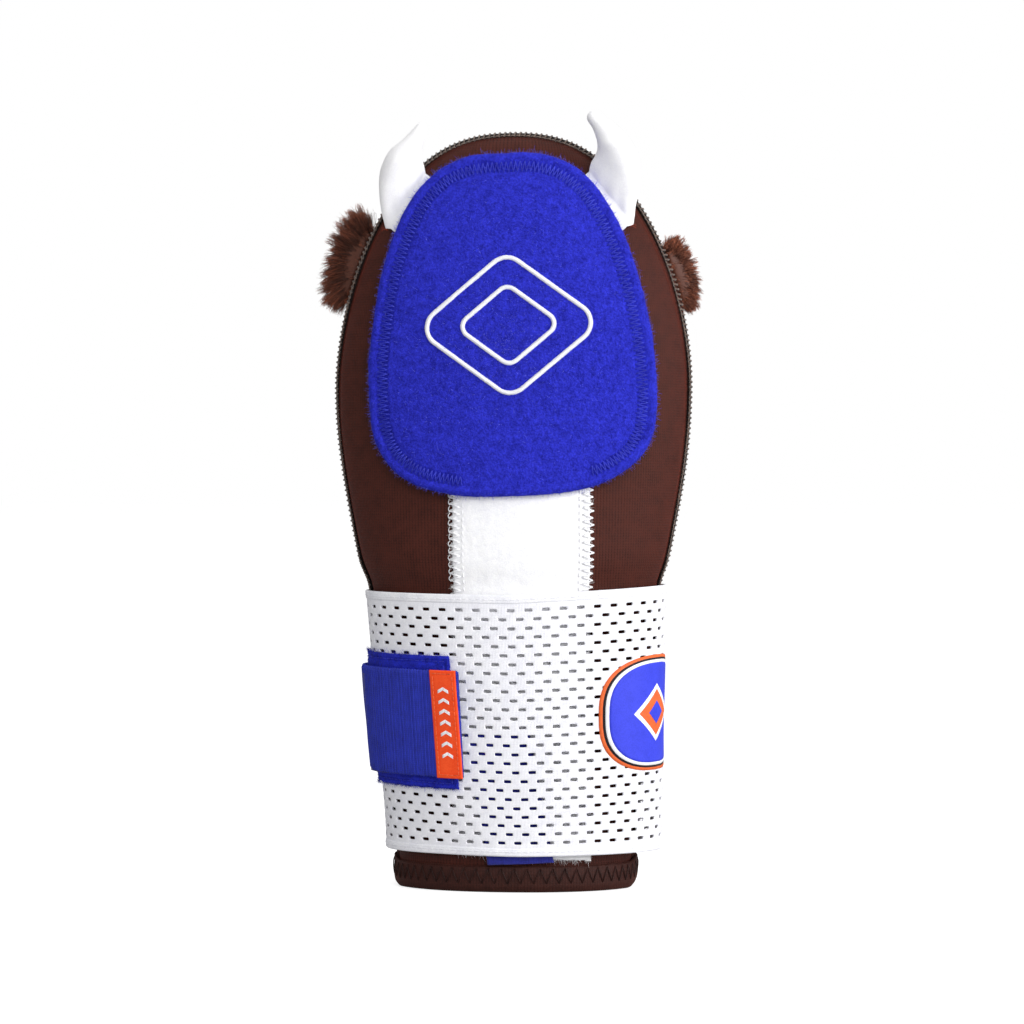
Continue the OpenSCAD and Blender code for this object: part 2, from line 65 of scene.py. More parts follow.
# The body's section is an ellipse whose half width and half depth change with height.
mitt = {
    "cuffHalfWidth": 45.0,
    "knuckleHalfWidth": 67.8,
    "knuckleZ": 190.0,
    "cuffHalfDepth": 25.0,
    "palmHalfDepth": 28.0,
    "deepZ": 100.0,
    "tipZ": shellHigh[2] + 0.05,
    "cornerRadius": 8.0,
    "cornerReach": 0.35,
    "cornerFade": 30.0,
    "neoprene": 3.0,
    "relief": 0.55,  # how far the padding swells and dips
    "reliefSize": 38.0,
    "squeeze": 2.0,  # how far the wrist band's top presses in
    "rightTrim": 1.8,  # how much slimmer the right side is above the band
}


def unit(vectors):
    return vectors / np.linalg.norm(vectors, axis=-1, keepdims=True)


def signedPower(values, power):
    return np.sign(values) * np.abs(values) ** power


def easeIn(t):
    t = np.clip(t, 0, 1)
    return t * t * (3 - 2 * t)


def dome(t, p, q):
    return np.maximum(1 - np.clip(t, 0, 1) ** p, 0) ** (1 / q)


def halfWidth(z):
    m = mitt
    rise = np.sin(np.pi / 2 * (np.clip(z, 0, m["knuckleZ"]) / m["knuckleZ"]) ** 2)
    low = m["cuffHalfWidth"] + (m["knuckleHalfWidth"] - m["cuffHalfWidth"]) * rise
    high = m["knuckleHalfWidth"] * dome((z - m["knuckleZ"]) / (m["tipZ"] - m["knuckleZ"]), 1.75, 2.4)
    return np.where(z < m["knuckleZ"], low, high)


def sideTrim(z, right):
    return mitt["rightTrim"] * easeIn((z - 100) / 25) * right


def halfDepth(z):
    m = mitt
    low = m["cuffHalfDepth"] + (m["palmHalfDepth"] - m["cuffHalfDepth"]) * easeIn(z / m["deepZ"])
    high = m["palmHalfDepth"] * dome((z - m["deepZ"]) / (m["tipZ"] - m["deepZ"]), 2.2, 1.9)
    return np.where(z < m["deepZ"], low, high)


def cornerLift(u):  # the cuff's edge rises beside each side seam
    c = np.clip(np.abs(np.cos(u)) / mitt["cornerReach"], 0, 1)
    return mitt["cornerRadius"] * (1 - np.sqrt(1 - (1 - c) ** 2))


def noiseAt(points, size, seed=0.0):
    offset = Vector((seed, 1.7 * seed, -seed))
    flat = np.asarray(points, float).reshape(-1, 3) / size
    values = [noise.noise(Vector(p) + offset) for p in flat]
    return np.array(values).reshape(np.shape(points)[:-1])


def skinPoint(u, z, d):  # u in radians: 0 on the front, pi/2 at the right seam
    u, z, d = np.broadcast_arrays(np.asarray(u, float), np.asarray(z, float), np.asarray(d, float))
    z = z + cornerLift(u) * np.maximum(0, 1 - z / mitt["cornerFade"])
    a, b = halfWidth(z) - sideTrim(z, np.sin(u) > 0), halfDepth(z)
    slopeA = (halfWidth(z + 0.01) - halfWidth(z - 0.01)) / 0.02
    slopeB = (halfDepth(z + 0.01) - halfDepth(z - 0.01)) / 0.02
    s, c = np.sin(u), np.cos(u)
    normal = np.stack([b * s, -a * c, -(a * slopeB * c * c + b * slopeA * s * s)], -1)
    normal = normal / np.maximum(np.linalg.norm(normal, axis=-1, keepdims=True), 1e-9)
    return np.stack([a * s, -b * c, z], -1) + d[..., None] * normal


def bodyPoint(u, z, d):  # the same with the padding's gentle swells, pressed in by the wrist band's top
    flat = skinPoint(u, z, 0)
    swell = mitt["relief"] * noiseAt(flat, mitt["reliefSize"], 3.1)
    past = (flat[..., 2] - bandHigh[2] - 1) / np.where(flat[..., 2] > bandHigh[2] + 1, 7, 18)
    return skinPoint(u, z, np.asarray(d, float) + swell - mitt["squeeze"] * np.exp(-past ** 2))


def atX(x, z, d):  # a place on the front, x from the middle
    return bodyPoint(np.arcsin(np.clip(x / (halfWidth(z) - sideTrim(z, x > 0)), -0.999, 0.999)), z, d)


# The wrist band stands off the body and leans a little at its foot.
band = {
    "halfWidth": (51.4, 56.3),
    "slack": (4.5, 2.2),
    "shift": (3.0, 0.0),
    "footZ": bandLow[2] + 1.5,
    "topZ": bandHigh[2],
    "sag": 1.7,  # the rows hang lower at the front than at the sides
    "cloth": 0.8,
    "wave": 0.5,
}


def bandPoint(u, z, d):
    b = band
    u, z, d = np.broadcast_arrays(np.asarray(u, float), np.asarray(z, float), np.asarray(d, float))
    t = (z - b["footZ"]) / (b["topZ"] - b["footZ"])
    a = b["halfWidth"][0] + (b["halfWidth"][1] - b["halfWidth"][0]) * t
    deep = halfDepth(z) + b["slack"][0] + (b["slack"][1] - b["slack"][0]) * t
    s, c = np.sin(u), np.cos(u)
    normal = unit(np.stack([deep * s, -a * c, 0 * s], -1))
    middle = b["shift"][0] + (b["shift"][1] - b["shift"][0]) * t
    base = np.stack([middle + a * s, -deep * c, z], -1)
    foot = 1 - np.clip(t, 0, 1)
    wave = b["wave"] * (0.25 + foot) * noiseAt(base, 27.0, 8.4)
    wave = wave + 0.5 * foot ** 4 * np.sin(5 * u + 0.8)
    out = base + (d + wave)[..., None] * normal
    out[..., 2] += b["sag"] * (np.abs(s) - 0.7) * np.clip(t * 4 + 0.3, 0, 1) + 1.2 * s * t
    return out


# Mesh helpers: a piece gathers points and faces in millimetres.
def gridFaces(across, up, start=0, wrap=False, flip=False):
    i, j = np.meshgrid(np.arange(across if wrap else across - 1), np.arange(up - 1), indexing="ij")
    k = (i + 1) % across if wrap else i + 1
    quads = np.stack([i * up + j, k * up + j, k * up + j + 1, i * up + j + 1], -1).reshape(-1, 4)
    return (quads[:, ::-1] if flip else quads) + start


def slabMesh(outer, inner, wrap=False):  # a solid between two grids indexed [across][up]
    across, up = outer.shape[:2]
    points = np.concatenate([outer.reshape(-1, 3), inner.reshape(-1, 3)])
    n = across * up
    faces = [gridFaces(across, up, 0, wrap), gridFaces(across, up, n, wrap, True)]
    i = np.arange(across if wrap else across - 1)
    k = (i + 1) % across
    for row, turned in ((0, False), (up - 1, True)):
        rim = np.stack([i * up + row, n + i * up + row, n + k * up + row, k * up + row], -1)
        faces.append(rim[:, ::-1] if turned else rim)
    if not wrap:
        j = np.arange(up - 1)
        for column, turned in ((0, True), (across - 1, False)):
            at = column * up
            side = np.stack([at + j, n + at + j, n + at + j + 1, at + j + 1], -1)
            faces.append(side[:, ::-1] if turned else side)
    return points, [list(f) for f in np.concatenate(faces)]


def capEnd(faces, across, up):  # closes a wrapped slab's last row, outside and inside
    faces = [f for f in faces if not (f[0] % up == up - 1 and f[1] % up == up - 1)]
    faces.append([k * up + up - 1 for k in range(across)])
    faces.append([(across + k) * up + up - 1 for k in reversed(range(across))])
    return faces


def closedTube(rings):  # a solid from rings laid one after another
    up, count = rings.shape[:2]
    faces = [list(f) for f in gridFaces(count, up, 0, True)]
    faces.append([k * up for k in reversed(range(count))])
    faces.append([k * up + up - 1 for k in range(count)])
    return rings.transpose(1, 0, 2).reshape(-1, 3), faces


def bothFaces(flat):  # cloth places for a slab's outer and inner grid
    return np.tile(flat.reshape(-1, 2), (2, 1))


def threadMesh(paths, radius, sides=6, lift=None):  # many tubes at once: paths is [thread][point][xyz]
    paths = np.asarray(paths, float)
    count, steps = paths.shape[:2]
    tangent = np.gradient(paths, axis=1)
    tangent /= np.maximum(np.linalg.norm(tangent, axis=-1, keepdims=True), 1e-9)
    guide = np.array([0.13, -0.97, 0.21]) if lift is None else np.asarray(lift, float)
    guide = np.broadcast_to(guide if guide.ndim != 2 else guide[:, None, :], paths.shape)
    side = np.cross(tangent, guide)
    side /= np.maximum(np.linalg.norm(side, axis=-1, keepdims=True), 1e-9)
    other = np.cross(side, tangent)
    radius = np.broadcast_to(np.asarray(radius, float), (count, steps))[..., None, None]
    angle = np.arange(sides) * 2 * np.pi / sides
    ring = np.cos(angle)[:, None] * side[..., None, :] + np.sin(angle)[:, None] * other[..., None, :]
    points = (paths[..., None, :] + radius * ring).reshape(-1, 3)
    t, p, s = np.meshgrid(np.arange(count), np.arange(steps - 1), np.arange(sides), indexing="ij")
    base, nextSide = (t * steps + p) * sides, (s + 1) % sides
    quads = np.stack([base + s, base + nextSide, base + sides + nextSide, base + sides + s], -1)
    faces = [list(f) for f in quads.reshape(-1, 4)]
    for t in range(count):
        first = t * steps * sides
        last = first + (steps - 1) * sides
        faces.append([first + k for k in reversed(range(sides))])
        faces.append([last + k for k in range(sides)])
    return points, faces


def joined(parts):  # several (points, faces) as one
    points, faces, start = [], [], 0
    for p, f in parts:
        points.append(p)
        faces.extend([[k + start for k in face] for face in f])
        start += len(p)
    return np.concatenate(points), faces


def makePiece(name, parts, material, body="mitt", cloth=None, smooth=True, outward=True):
    points, faces = parts
    mesh = bpy.data.meshes.new(name)
    mesh.from_pydata((points * mm).tolist(), [], faces)
    if outward:
        work = bmesh.new()
        work.from_mesh(mesh)
        bmesh.ops.recalc_face_normals(work, faces=work.faces)
        work.to_mesh(mesh)
        work.free()
    mesh.polygons.foreach_set("use_smooth", [smooth] * len(mesh.polygons))
    if cloth is not None:  # where each point lies on the flat cloth
        flat = np.zeros((len(points), 3))
        flat[:, : cloth.shape[-1]] = cloth.reshape(-1, cloth.shape[-1])
        mesh.attributes.new("clothAt", "FLOAT_VECTOR", "POINT").data.foreach_set("vector", flat.ravel())
    piece = bpy.data.objects.new(name, mesh)
    bpy.context.scene.collection.objects.link(piece)
    mesh.materials.append(material)
    if body:
        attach(piece, body)
    return piece


def evenly(path, step, closed=False):  # a polyline again, with points step apart
    if closed:
        path = np.concatenate([path, path[:1]])
    along = np.concatenate([[0], np.cumsum(np.linalg.norm(np.diff(path, axis=0), axis=1))])
    count = max(3, round(along[-1] / step))
    at = np.linspace(0, along[-1], count + 1)
    if closed:
        at = at[:-1]
    return np.stack([np.interp(at, along, path[:, k]) for k in range(path.shape[1])], 1)


def srgb(r, g, b):
    return tuple(((c / 255 + 0.055) / 1.055) ** 2.4 if c > 10 else c / 3295 for c in (r, g, b)) + (1.0,)


# Shared surface effects, each a node group built once.
def startGroup(name, inputs, outputs):
    group = bpy.data.node_groups.new(name, "ShaderNodeTree")
    for label, value in inputs:
        kind = "NodeSocketVector" if value is None else "NodeSocketFloat"
        socket = group.interface.new_socket(label, in_out="INPUT", socket_type=kind)
        if value is not None:
            socket.default_value = value
    for label in outputs:
        group.interface.new_socket(label, in_out="OUTPUT", socket_type="NodeSocketFloat")
    nodes, links = group.nodes, group.links
    return group, nodes.new("NodeGroupInput"), nodes.new("NodeGroupOutput"), nodes, links


def mathNode(tree, kind, a, b=None, c=None):
    node = tree.nodes.new("ShaderNodeMath")
    node.operation = kind
    for k, value in enumerate((a, b, c)):
        if isinstance(value, (int, float)):
            node.inputs[k].default_value = value
        elif value is not None:
            tree.links.new(value, node.inputs[k])
    return node.outputs[0]


def noiseNode(tree, vector, scale, detail=3.0, rough=0.6):
    node = tree.nodes.new("ShaderNodeTexNoise")
    node.inputs["Detail"].default_value = detail
    node.inputs["Roughness"].default_value = rough
    tree.links.new(vector, node.inputs["Vector"])
    if isinstance(scale, (int, float)):
        node.inputs["Scale"].default_value = scale
    else:
        tree.links.new(scale, node.inputs["Scale"])
    return node.outputs["Fac"]


def makeFuzz():  # short tangled fibres: fine grain over soft clumps
    group, ins, outs, nodes, links = startGroup(
        "clothFuzz", [("Vector", None), ("Size", 0.8), ("Clumps", 4.0)], ["Height", "Tone"])
    place = ins.outputs["Vector"]
    fine = noiseNode(group, place, mathNode(group, "DIVIDE", 1.0, ins.outputs["Size"]), 4.0, 0.7)
    soft = noiseNode(group, place, mathNode(group, "DIVIDE", 1.0, ins.outputs["Clumps"]), 2.0)
    links.new(mathNode(group, "ADD", fine, mathNode(group, "MULTIPLY", soft, 0.5)), outs.inputs["Height"])
    tone = mathNode(group, "MULTIPLY_ADD", soft, 0.35, mathNode(group, "MULTIPLY", fine, 0.65))
    spread = nodes.new("ShaderNodeMapRange")
    spread.inputs["From Min"].default_value = 0.36
    spread.inputs["From Max"].default_value = 0.64
    links.new(tone, spread.inputs["Value"])
    links.new(spread.outputs["Result"], outs.inputs["Tone"])
    return group


def makeKnit():  # columns of knit stitches, Pitch wide and Row tall
    group, ins, outs, nodes, links = startGroup(
        "knitColumns", [("Vector", None), ("Pitch", 1.0), ("Row", 0.9)], ["Height", "Groove"])
    split = nodes.new("ShaderNodeSeparateXYZ")
    links.new(ins.outputs["Vector"], split.inputs[0])
    column = mathNode(group, "DIVIDE", split.outputs["X"], ins.outputs["Pitch"])
    wave = mathNode(group, "ABSOLUTE", mathNode(group, "SINE", mathNode(group, "MULTIPLY", column, math.pi)))
    roundness = mathNode(group, "POWER", wave, 0.6)
    lean = mathNode(group, "PINGPONG", column, 0.5)
    row = mathNode(group, "DIVIDE", split.outputs["Y"], ins.outputs["Row"])
    turn = mathNode(group, "MULTIPLY", mathNode(group, "ADD", row, lean), 2 * math.pi)
    loop = mathNode(group, "SINE", turn)
    links.new(mathNode(group, "MULTIPLY_ADD", loop, 0.22, roundness), outs.inputs["Height"])
    links.new(mathNode(group, "SUBTRACT", 1.0, roundness), outs.inputs["Groove"])
    return group


def makeWeave():  # threads over and under each other, Pitch apart
    group, ins, outs, nodes, links = startGroup("plainWeave", [("Vector", None), ("Pitch", 0.5)], ["Height"])
    split = nodes.new("ShaderNodeSeparateXYZ")
    links.new(ins.outputs["Vector"], split.inputs[0])
    shares = [mathNode(group, "DIVIDE", split.outputs[k], ins.outputs["Pitch"]) for k in ("X", "Y")]
    turns = [mathNode(group, "MULTIPLY", share, math.pi) for share in shares]
    over = mathNode(group, "MULTIPLY", mathNode(group, "SINE", turns[0]), mathNode(group, "SINE", turns[1]))
    warp = mathNode(group, "ABSOLUTE", mathNode(group, "COSINE", turns[0]))
    weft = mathNode(group, "ABSOLUTE", mathNode(group, "COSINE", turns[1]))
    crown = mathNode(group, "MULTIPLY", mathNode(group, "MAXIMUM", warp, weft), 0.3)
    links.new(mathNode(group, "ADD", mathNode(group, "ABSOLUTE", over), crown), outs.inputs["Height"])
    return group


effects = {"fuzz": makeFuzz(), "knit": makeKnit(), "weave": makeWeave()}


def placed(tree, effect, vector, **values):
    node = tree.nodes.new("ShaderNodeGroup")
    node.node_tree = effects[effect]
    tree.links.new(vector, node.inputs["Vector"])
    for label, value in values.items():
        node.inputs[label].default_value = value
    return node.outputs


def newCloth(name, look):
    # look: two colours, grain sizes in mm, and what the Principled shader needs
    material = bpy.data.materials.new(name)
    material.use_nodes = True
    tree = material.node_tree
    shader = tree.nodes["Principled BSDF"]
    shader.inputs["Specular IOR Level"].default_value = look.get("shine", 0.3)
    shader.inputs["Sheen Weight"].default_value = look.get("sheen", 0.0)
    shader.inputs["Sheen Roughness"].default_value = look.get("sheenRough", 0.5)
    shader.inputs["Sheen Tint"].default_value = srgb(*look.get("sheenColour", (255, 255, 255)))
    place = tree.nodes.new("ShaderNodeTexCoord").outputs["Object"]
    inMm = tree.nodes.new("ShaderNodeVectorMath")
    inMm.operation = "SCALE"
    inMm.inputs["Scale"].default_value = 1000.0
    tree.links.new(place, inMm.inputs[0])
    place = inMm.outputs[0]
    fuzz = placed(tree, "fuzz", place, Size=look["grain"], Clumps=look.get("clumps", 5.0))
    height, tone = fuzz["Height"], fuzz["Tone"]
    height = mathNode(tree, "MULTIPLY", height, look.get("fuzzDepth", 0.1))
    pattern = look.get("pattern")
    if pattern:
        flat = tree.nodes.new("ShaderNodeAttribute")
        flat.attribute_name = "clothAt"
        sizes = {key: value for key, value in look.items() if key in ("Pitch", "Row")}
        made = placed(tree, pattern, flat.outputs["Vector"], **sizes)
        height = mathNode(tree, "MULTIPLY_ADD", made["Height"], look["patternDepth"], height)
        # The pattern's raised threads come out lighter and the grooves between them darker: painted shade in
        # the grooves, added to the grain's random tone.
        tone = mathNode(tree, "MULTIPLY_ADD", made["Height"], look.get("patternTone", 0.3),
                        mathNode(tree, "MULTIPLY", tone, 0.7))
    mix = tree.nodes.new("ShaderNodeMix")
    mix.data_type = "RGBA"
    tree.links.new(tone, mix.inputs[0])
    mix.inputs[6].default_value = srgb(*look["dark"])
    mix.inputs[7].default_value = srgb(*look["light"])
    tree.links.new(mix.outputs[2], shader.inputs["Base Color"])
    low, high = look.get("rough", (0.75, 0.95))
    tree.links.new(mathNode(tree, "MULTIPLY_ADD", tone, high - low, low), shader.inputs["Roughness"])
    bump = tree.nodes.new("ShaderNodeBump")
    bump.inputs["Distance"].default_value = mm
    bump.inputs["Strength"].default_value = look.get("bump", 0.6)
    tree.links.new(height, bump.inputs["Height"])
    tree.links.new(bump.outputs["Normal"], shader.inputs["Normal"])
    return material


# Looks with a knit or weave pattern also paint their grooves darker than the raised threads, as painted
# shade.
looks = {
    "neoprene": {"dark": (30, 12, 9), "light": (76, 36, 28), "grain": 0.5, "rough": (0.42, 0.55),
                 "shine": 0.12, "sheen": 0.22, "sheenRough": 0.3, "sheenColour": (235, 95, 70),
                 "pattern": "knit", "Pitch": 1.15, "Row": 1.0, "patternDepth": 0.16, "patternTone": 0.6,
                 "fuzzDepth": 0.05, "bump": 0.6},
    "binding": {"dark": (34, 15, 12), "light": (64, 32, 26), "grain": 0.6, "rough": (0.5, 0.65),
                "shine": 0.15, "sheen": 0.15, "sheenColour": (190, 120, 105), "pattern": "knit",
                "Pitch": 1.0, "Row": 0.8, "patternDepth": 0.12, "fuzzDepth": 0.08},
    "seamCore": {"dark": (16, 11, 10), "light": (36, 25, 22), "grain": 0.5, "shine": 0.2,
                 "fuzzDepth": 0.1},
    "seamThread": {"dark": (50, 37, 31), "light": (118, 96, 82), "grain": 0.35, "rough": (0.35, 0.5),
                   "shine": 0.5, "sheen": 0.3, "fuzzDepth": 0.05},
    "hemThread": {"dark": (24, 12, 10), "light": (58, 30, 25), "grain": 0.3, "rough": (0.45, 0.6),
                  "shine": 0.2, "fuzzDepth": 0.05},
    "felt": {"dark": (24, 26, 138), "light": (52, 58, 214), "grain": 0.8, "clumps": 2.6,
             "rough": (0.85, 1.0), "shine": 0.1, "sheen": 0.15, "sheenRough": 0.6,
             "sheenColour": (90, 100, 255), "fuzzDepth": 0.9, "bump": 0.8},
    "feltThread": {"dark": (24, 27, 140), "light": (66, 76, 222), "grain": 0.3, "rough": (0.4, 0.55),
                   "shine": 0.25, "fuzzDepth": 0.04},
    "feltFibre": {"dark": (38, 42, 190), "light": (92, 100, 240), "grain": 0.6, "shine": 0.1,
                  "sheen": 0.3, "fuzzDepth": 0.0},
    "satinThread": {"dark": (232, 232, 238), "light": (255, 255, 255), "grain": 0.3,
                    "rough": (0.35, 0.5), "shine": 0.5, "sheen": 0.2, "fuzzDepth": 0.03},
    "whiteLoop": {"dark": (244, 244, 248), "light": (255, 255, 255), "grain": 0.6, "clumps": 2.0,
                  "shine": 0.15, "sheen": 0.3, "fuzzDepth": 0.3, "bump": 0.5},
    "hornPlush": {"dark": (240, 239, 243), "light": (255, 255, 255), "grain": 0.4, "clumps": 6.0,
                  "shine": 0.15, "sheen": 0.35, "fuzzDepth": 0.12, "bump": 0.5},
    "bandMesh": {"dark": (226, 226, 236), "light": (252, 252, 255), "grain": 0.4, "shine": 0.3,
                 "pattern": "knit", "Pitch": 0.54, "Row": 0.6, "patternDepth": 0.12, "patternTone": 0.3,
                 "sheen": 0.15, "fuzzDepth": 0.05},
    "bandEdge": {"dark": (228, 228, 236), "light": (252, 252, 255), "grain": 0.5, "shine": 0.25,
                 "sheen": 0.15, "fuzzDepth": 0.1},
    "blueLoop": {"dark": (20, 26, 130), "light": (44, 56, 216), "grain": 0.5, "clumps": 2.5,
                 "shine": 0.12, "sheen": 0.2, "sheenColour": (120, 130, 255), "fuzzDepth": 0.7,
                 "bump": 0.8},
    "blueElastic": {"dark": (16, 22, 104), "light": (46, 60, 190), "grain": 0.4, "rough": (0.5, 0.7),
                    "shine": 0.18, "pattern": "knit", "Pitch": 0.75, "Row": 0.8, "patternDepth": 0.2,
                    "patternTone": 0.45, "sheen": 0.2, "sheenColour": (140, 150, 255),
                    "fuzzDepth": 0.15, "bump": 0.8},
    "keeperWebbing": {"dark": (24, 26, 104), "light": (44, 50, 160), "grain": 0.5, "pattern": "weave",
                      "Pitch": 0.9, "patternDepth": 0.2, "fuzzDepth": 0.2, "sheen": 0.2},
    "labelWeave": {"dark": (240, 62, 20), "light": (255, 96, 44), "grain": 0.4, "rough": (0.45, 0.6),
                   "shine": 0.15, "pattern": "weave", "Pitch": 0.5, "patternDepth": 0.12,
                   "fuzzDepth": 0.03},
    "labelThread": {"dark": (214, 66, 26), "light": (255, 128, 70), "grain": 0.3, "rough": (0.35, 0.5),
                    "shine": 0.5, "fuzzDepth": 0.03},
    "hookTape": {"dark": (18, 22, 86), "light": (34, 40, 130), "grain": 0.5, "rough": (0.3, 0.45),
                 "shine": 0.5, "fuzzDepth": 0.3},
    "linerKnit": {"dark": (18, 18, 20), "light": (40, 40, 44), "grain": 0.7, "pattern": "knit",
                  "Pitch": 1.4, "Row": 1.2, "patternDepth": 0.3, "fuzzDepth": 0.1, "sheen": 0.3},
    "plateSheet": {"dark": (222, 222, 218), "light": (240, 240, 236), "grain": 0.9,
                   "rough": (0.35, 0.5), "shine": 0.5, "fuzzDepth": 0.03, "clumps": 20.0},
    "foamSkin": {"dark": (70, 70, 72), "light": (104, 104, 106), "grain": 0.7, "clumps": 1.6,
                 "fuzzDepth": 0.5},
    "stuffingFibre": {"dark": (226, 226, 226), "light": (252, 252, 252), "grain": 0.5, "clumps": 2.0,
                      "fuzzDepth": 0.9, "bump": 1.0},
    "backingFelt": {"dark": (18, 20, 92), "light": (36, 40, 138), "grain": 0.5, "fuzzDepth": 0.3},
    "earBacking": {"dark": (48, 24, 19), "light": (84, 46, 36), "grain": 0.5, "fuzzDepth": 0.3},
    "tackThread": {"dark": (110, 40, 24), "light": (150, 62, 40), "grain": 0.4, "fuzzDepth": 0.02},
    "badgeOrange": {"dark": (216, 92, 40), "light": (238, 112, 56), "grain": 0.5, "rough": (0.5, 0.6),
                    "fuzzDepth": 0.08},
    "badgeNavy": {"dark": (22, 18, 26), "light": (38, 32, 40), "grain": 0.5, "rough": (0.5, 0.6),
                  "fuzzDepth": 0.08},
    "badgeWhite": {"dark": (240, 240, 244), "light": (254, 254, 255), "grain": 0.5, "rough": (0.5, 0.6),
                   "fuzzDepth": 0.08},
    "badgeBlue": {"dark": (46, 58, 204), "light": (60, 72, 226), "grain": 0.5, "rough": (0.5, 0.6),
                  "fuzzDepth": 0.08},
}
cloths = {name: newCloth(name, look) for name, look in looks.items()}
print("materials made")

# Neoprene panels: a soft groove runs beside the seam, and the panels' edges stand up in a ridge.
panel = {"columns": 150, "rows": 150, "grooveAt": 3.6, "grooveWide": 1.3, "grooveDeep": 0.75, "ridge": 0.5,
         "footZ": 1.6}


def panelShape(u, z):
    y = np.abs(halfDepth(z) * np.cos(u))
    near = easeIn((halfDepth(z) - 5) / 6)
    groove = panel["grooveDeep"] * np.exp(-((y - panel["grooveAt"]) / panel["grooveWide"]) ** 2)
    ridge = panel["ridge"] * np.exp(-(y / 1.5) ** 2)
    return (ridge - groove) * near


def makePanel(name, turn, node):
    side = np.linspace(-1, 1, panel["columns"])
    u = (np.sin(side * np.pi / 2) * 0.5 + side * 0.5) * np.radians(89.7)
    t = np.linspace(0, 1, panel["rows"])
    z = panel["footZ"] + (mitt["tipZ"] - 0.05 - panel["footZ"]) * (1 - (1 - t) ** 1.7)
    U, Z = np.meshgrid(u + turn, z, indexing="ij")
    shape = panelShape(U, Z)
    outer, inner = bodyPoint(U, Z, shape), bodyPoint(U, Z, shape * 0.3 - mitt["neoprene"])
    cloth = bothFaces(np.stack([U * halfWidth(Z) * 0.8, Z], -1))
    piece = makePiece(name, slabMesh(outer, inner), cloths["neoprene"], cloth=cloth)
    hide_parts(node)


makePanel("backPanel", 0, "back_shell")
makePanel("palmPanel", np.pi, "palm_shell")
print("panels made")

# The whip stitch over the panels' joined edges.
seam = {"startZ": 9.0, "pitch": 1.95, "reach": 2.7, "height": 0.85, "thread": 0.34, "slant": 0.95}


def seamLine(step):  # points, outward normals and directions, up the left side and down the right
    up = np.linspace(0, 1, 400)
    z = seam["startZ"] + (mitt["tipZ"] - 0.02 - seam["startZ"]) * (1 - (1 - up) ** 2.2)
    left, right = bodyPoint(-np.pi / 2, z, 0), bodyPoint(np.pi / 2, z[::-1], 0)
    line = evenly(np.concatenate([left, right]), step)
    line[:, 1] = 0
    along = np.gradient(line, axis=0)
    along = unit(along)
    return line, np.stack([-along[:, 2], 0 * along[:, 0], along[:, 0]], 1), along


def dropBeside(points, normals, reach):  # how far the surface falls away at that reach in y
    low, high = np.zeros(len(points)), np.full(len(points), 9.0)
    for halving in range(22):
        mid = (low + high) / 2
        test = points - normals * mid[:, None]
        wide = halfWidth(test[:, 2]) - sideTrim(test[:, 2], test[:, 0] > 0)
        inside = (test[:, 0] / np.maximum(wide, 0.01)) ** 2
        inside += (reach / np.maximum(halfDepth(test[:, 2]), 0.01)) ** 2
        low, high = np.where(inside > 1, mid, low), np.where(inside > 1, high, mid)
    return high


def makeSeam():
    line, out, along = seamLine(seam["pitch"] / 2)
    drops = {w: dropBeside(line, out, abs(w)) for w in (0.9, 1.9, seam["reach"])}

    def over(index, w, lift, ahead=0.0):
        drop = drops[abs(w)][index] if w else 0
        place = line[index] + out[index] * (lift - drop + np.zeros(len(index)))[:, None]
        return place + along[index] * ahead + np.array([0, w, 0])

    ring = []  # the dark core strip that the stitches cross
    for w, lift in ((-2.6, 0.25), (-1.9, 0.42), (-0.9, 0.6), (0, 0.66), (0.9, 0.6), (1.9, 0.42), (2.6, 0.25)):
        key = {2.6: seam["reach"]}.get(abs(w), abs(w))
        drop = drops[key] if w else 0
        ring.append(line + out * (lift + np.zeros(len(line)) - drop)[:, None] + np.array([0, w, 0]))
    ring = np.stack(ring, 0)
    core = makePiece("seamCore", slabMesh(ring, ring - out[None] * 0.9), cloths["seamCore"])
    wraps = []
    pick = np.arange(1, len(line) - 2, 2)
    jitter = 0.12 * noiseAt(line[pick], 1.1, 5.0)
    for share, w, lift in ((0, -seam["reach"], 0.2), (0.17, -1.9, 0.62), (0.34, -0.9, 0.92), (0.5, 0, 1.0),
                           (0.66, 0.9, 0.92), (0.83, 1.9, 0.62), (1, seam["reach"], 0.2)):
        wraps.append(over(pick, w, lift * seam["height"] + np.zeros(len(pick)), 0) +
                     along[pick] * ((share - 0.5) * seam["slant"] + jitter)[:, None])
    wraps = np.stack(wraps, 1)
    rims = []
    for w in (-seam["reach"], seam["reach"]):  # the looper thread along each side, one loop a stitch
        here = over(pick[:-1], w, 0.35 + np.zeros(len(pick) - 1)) + along[pick[:-1]] * 0.2
        there = over(pick[1:], w, 0.35 + np.zeros(len(pick) - 1)) - along[pick[1:]] * 0.2
        bow = over(pick[:-1] + 1, w, 0.55 + np.zeros(len(pick) - 1)) + np.array([0, 0.55 * np.sign(w), 0])
        aside = np.array([0, 0.2 * np.sign(w), 0])
        rims.append(np.stack([here, (here + bow) / 2 + aside, bow, (there + bow) / 2 + aside, there], 1))
    thick = seam["thread"] * np.array([0.7, 1, 1.12, 1.15, 1.12, 1, 0.7])
    parts = [threadMesh(wraps, thick, 6, out[pick])]
    parts += [threadMesh(r, seam["thread"] * 0.8, 5, out[pick[:-1]]) for r in rims]
    stitches = makePiece("seamStitches", joined(parts), cloths["seamThread"])
    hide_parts("edge_seam")
    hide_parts("edge_seam")


makeSeam()
print("edge seam made")

# The folded hem at the wrist, with a zigzag cover stitch over its raw edge.
hem = {"height": 10.2, "stitchLow": 3.6, "stitchHigh": 9.2, "pitch": 2.0, "thread": 0.2}


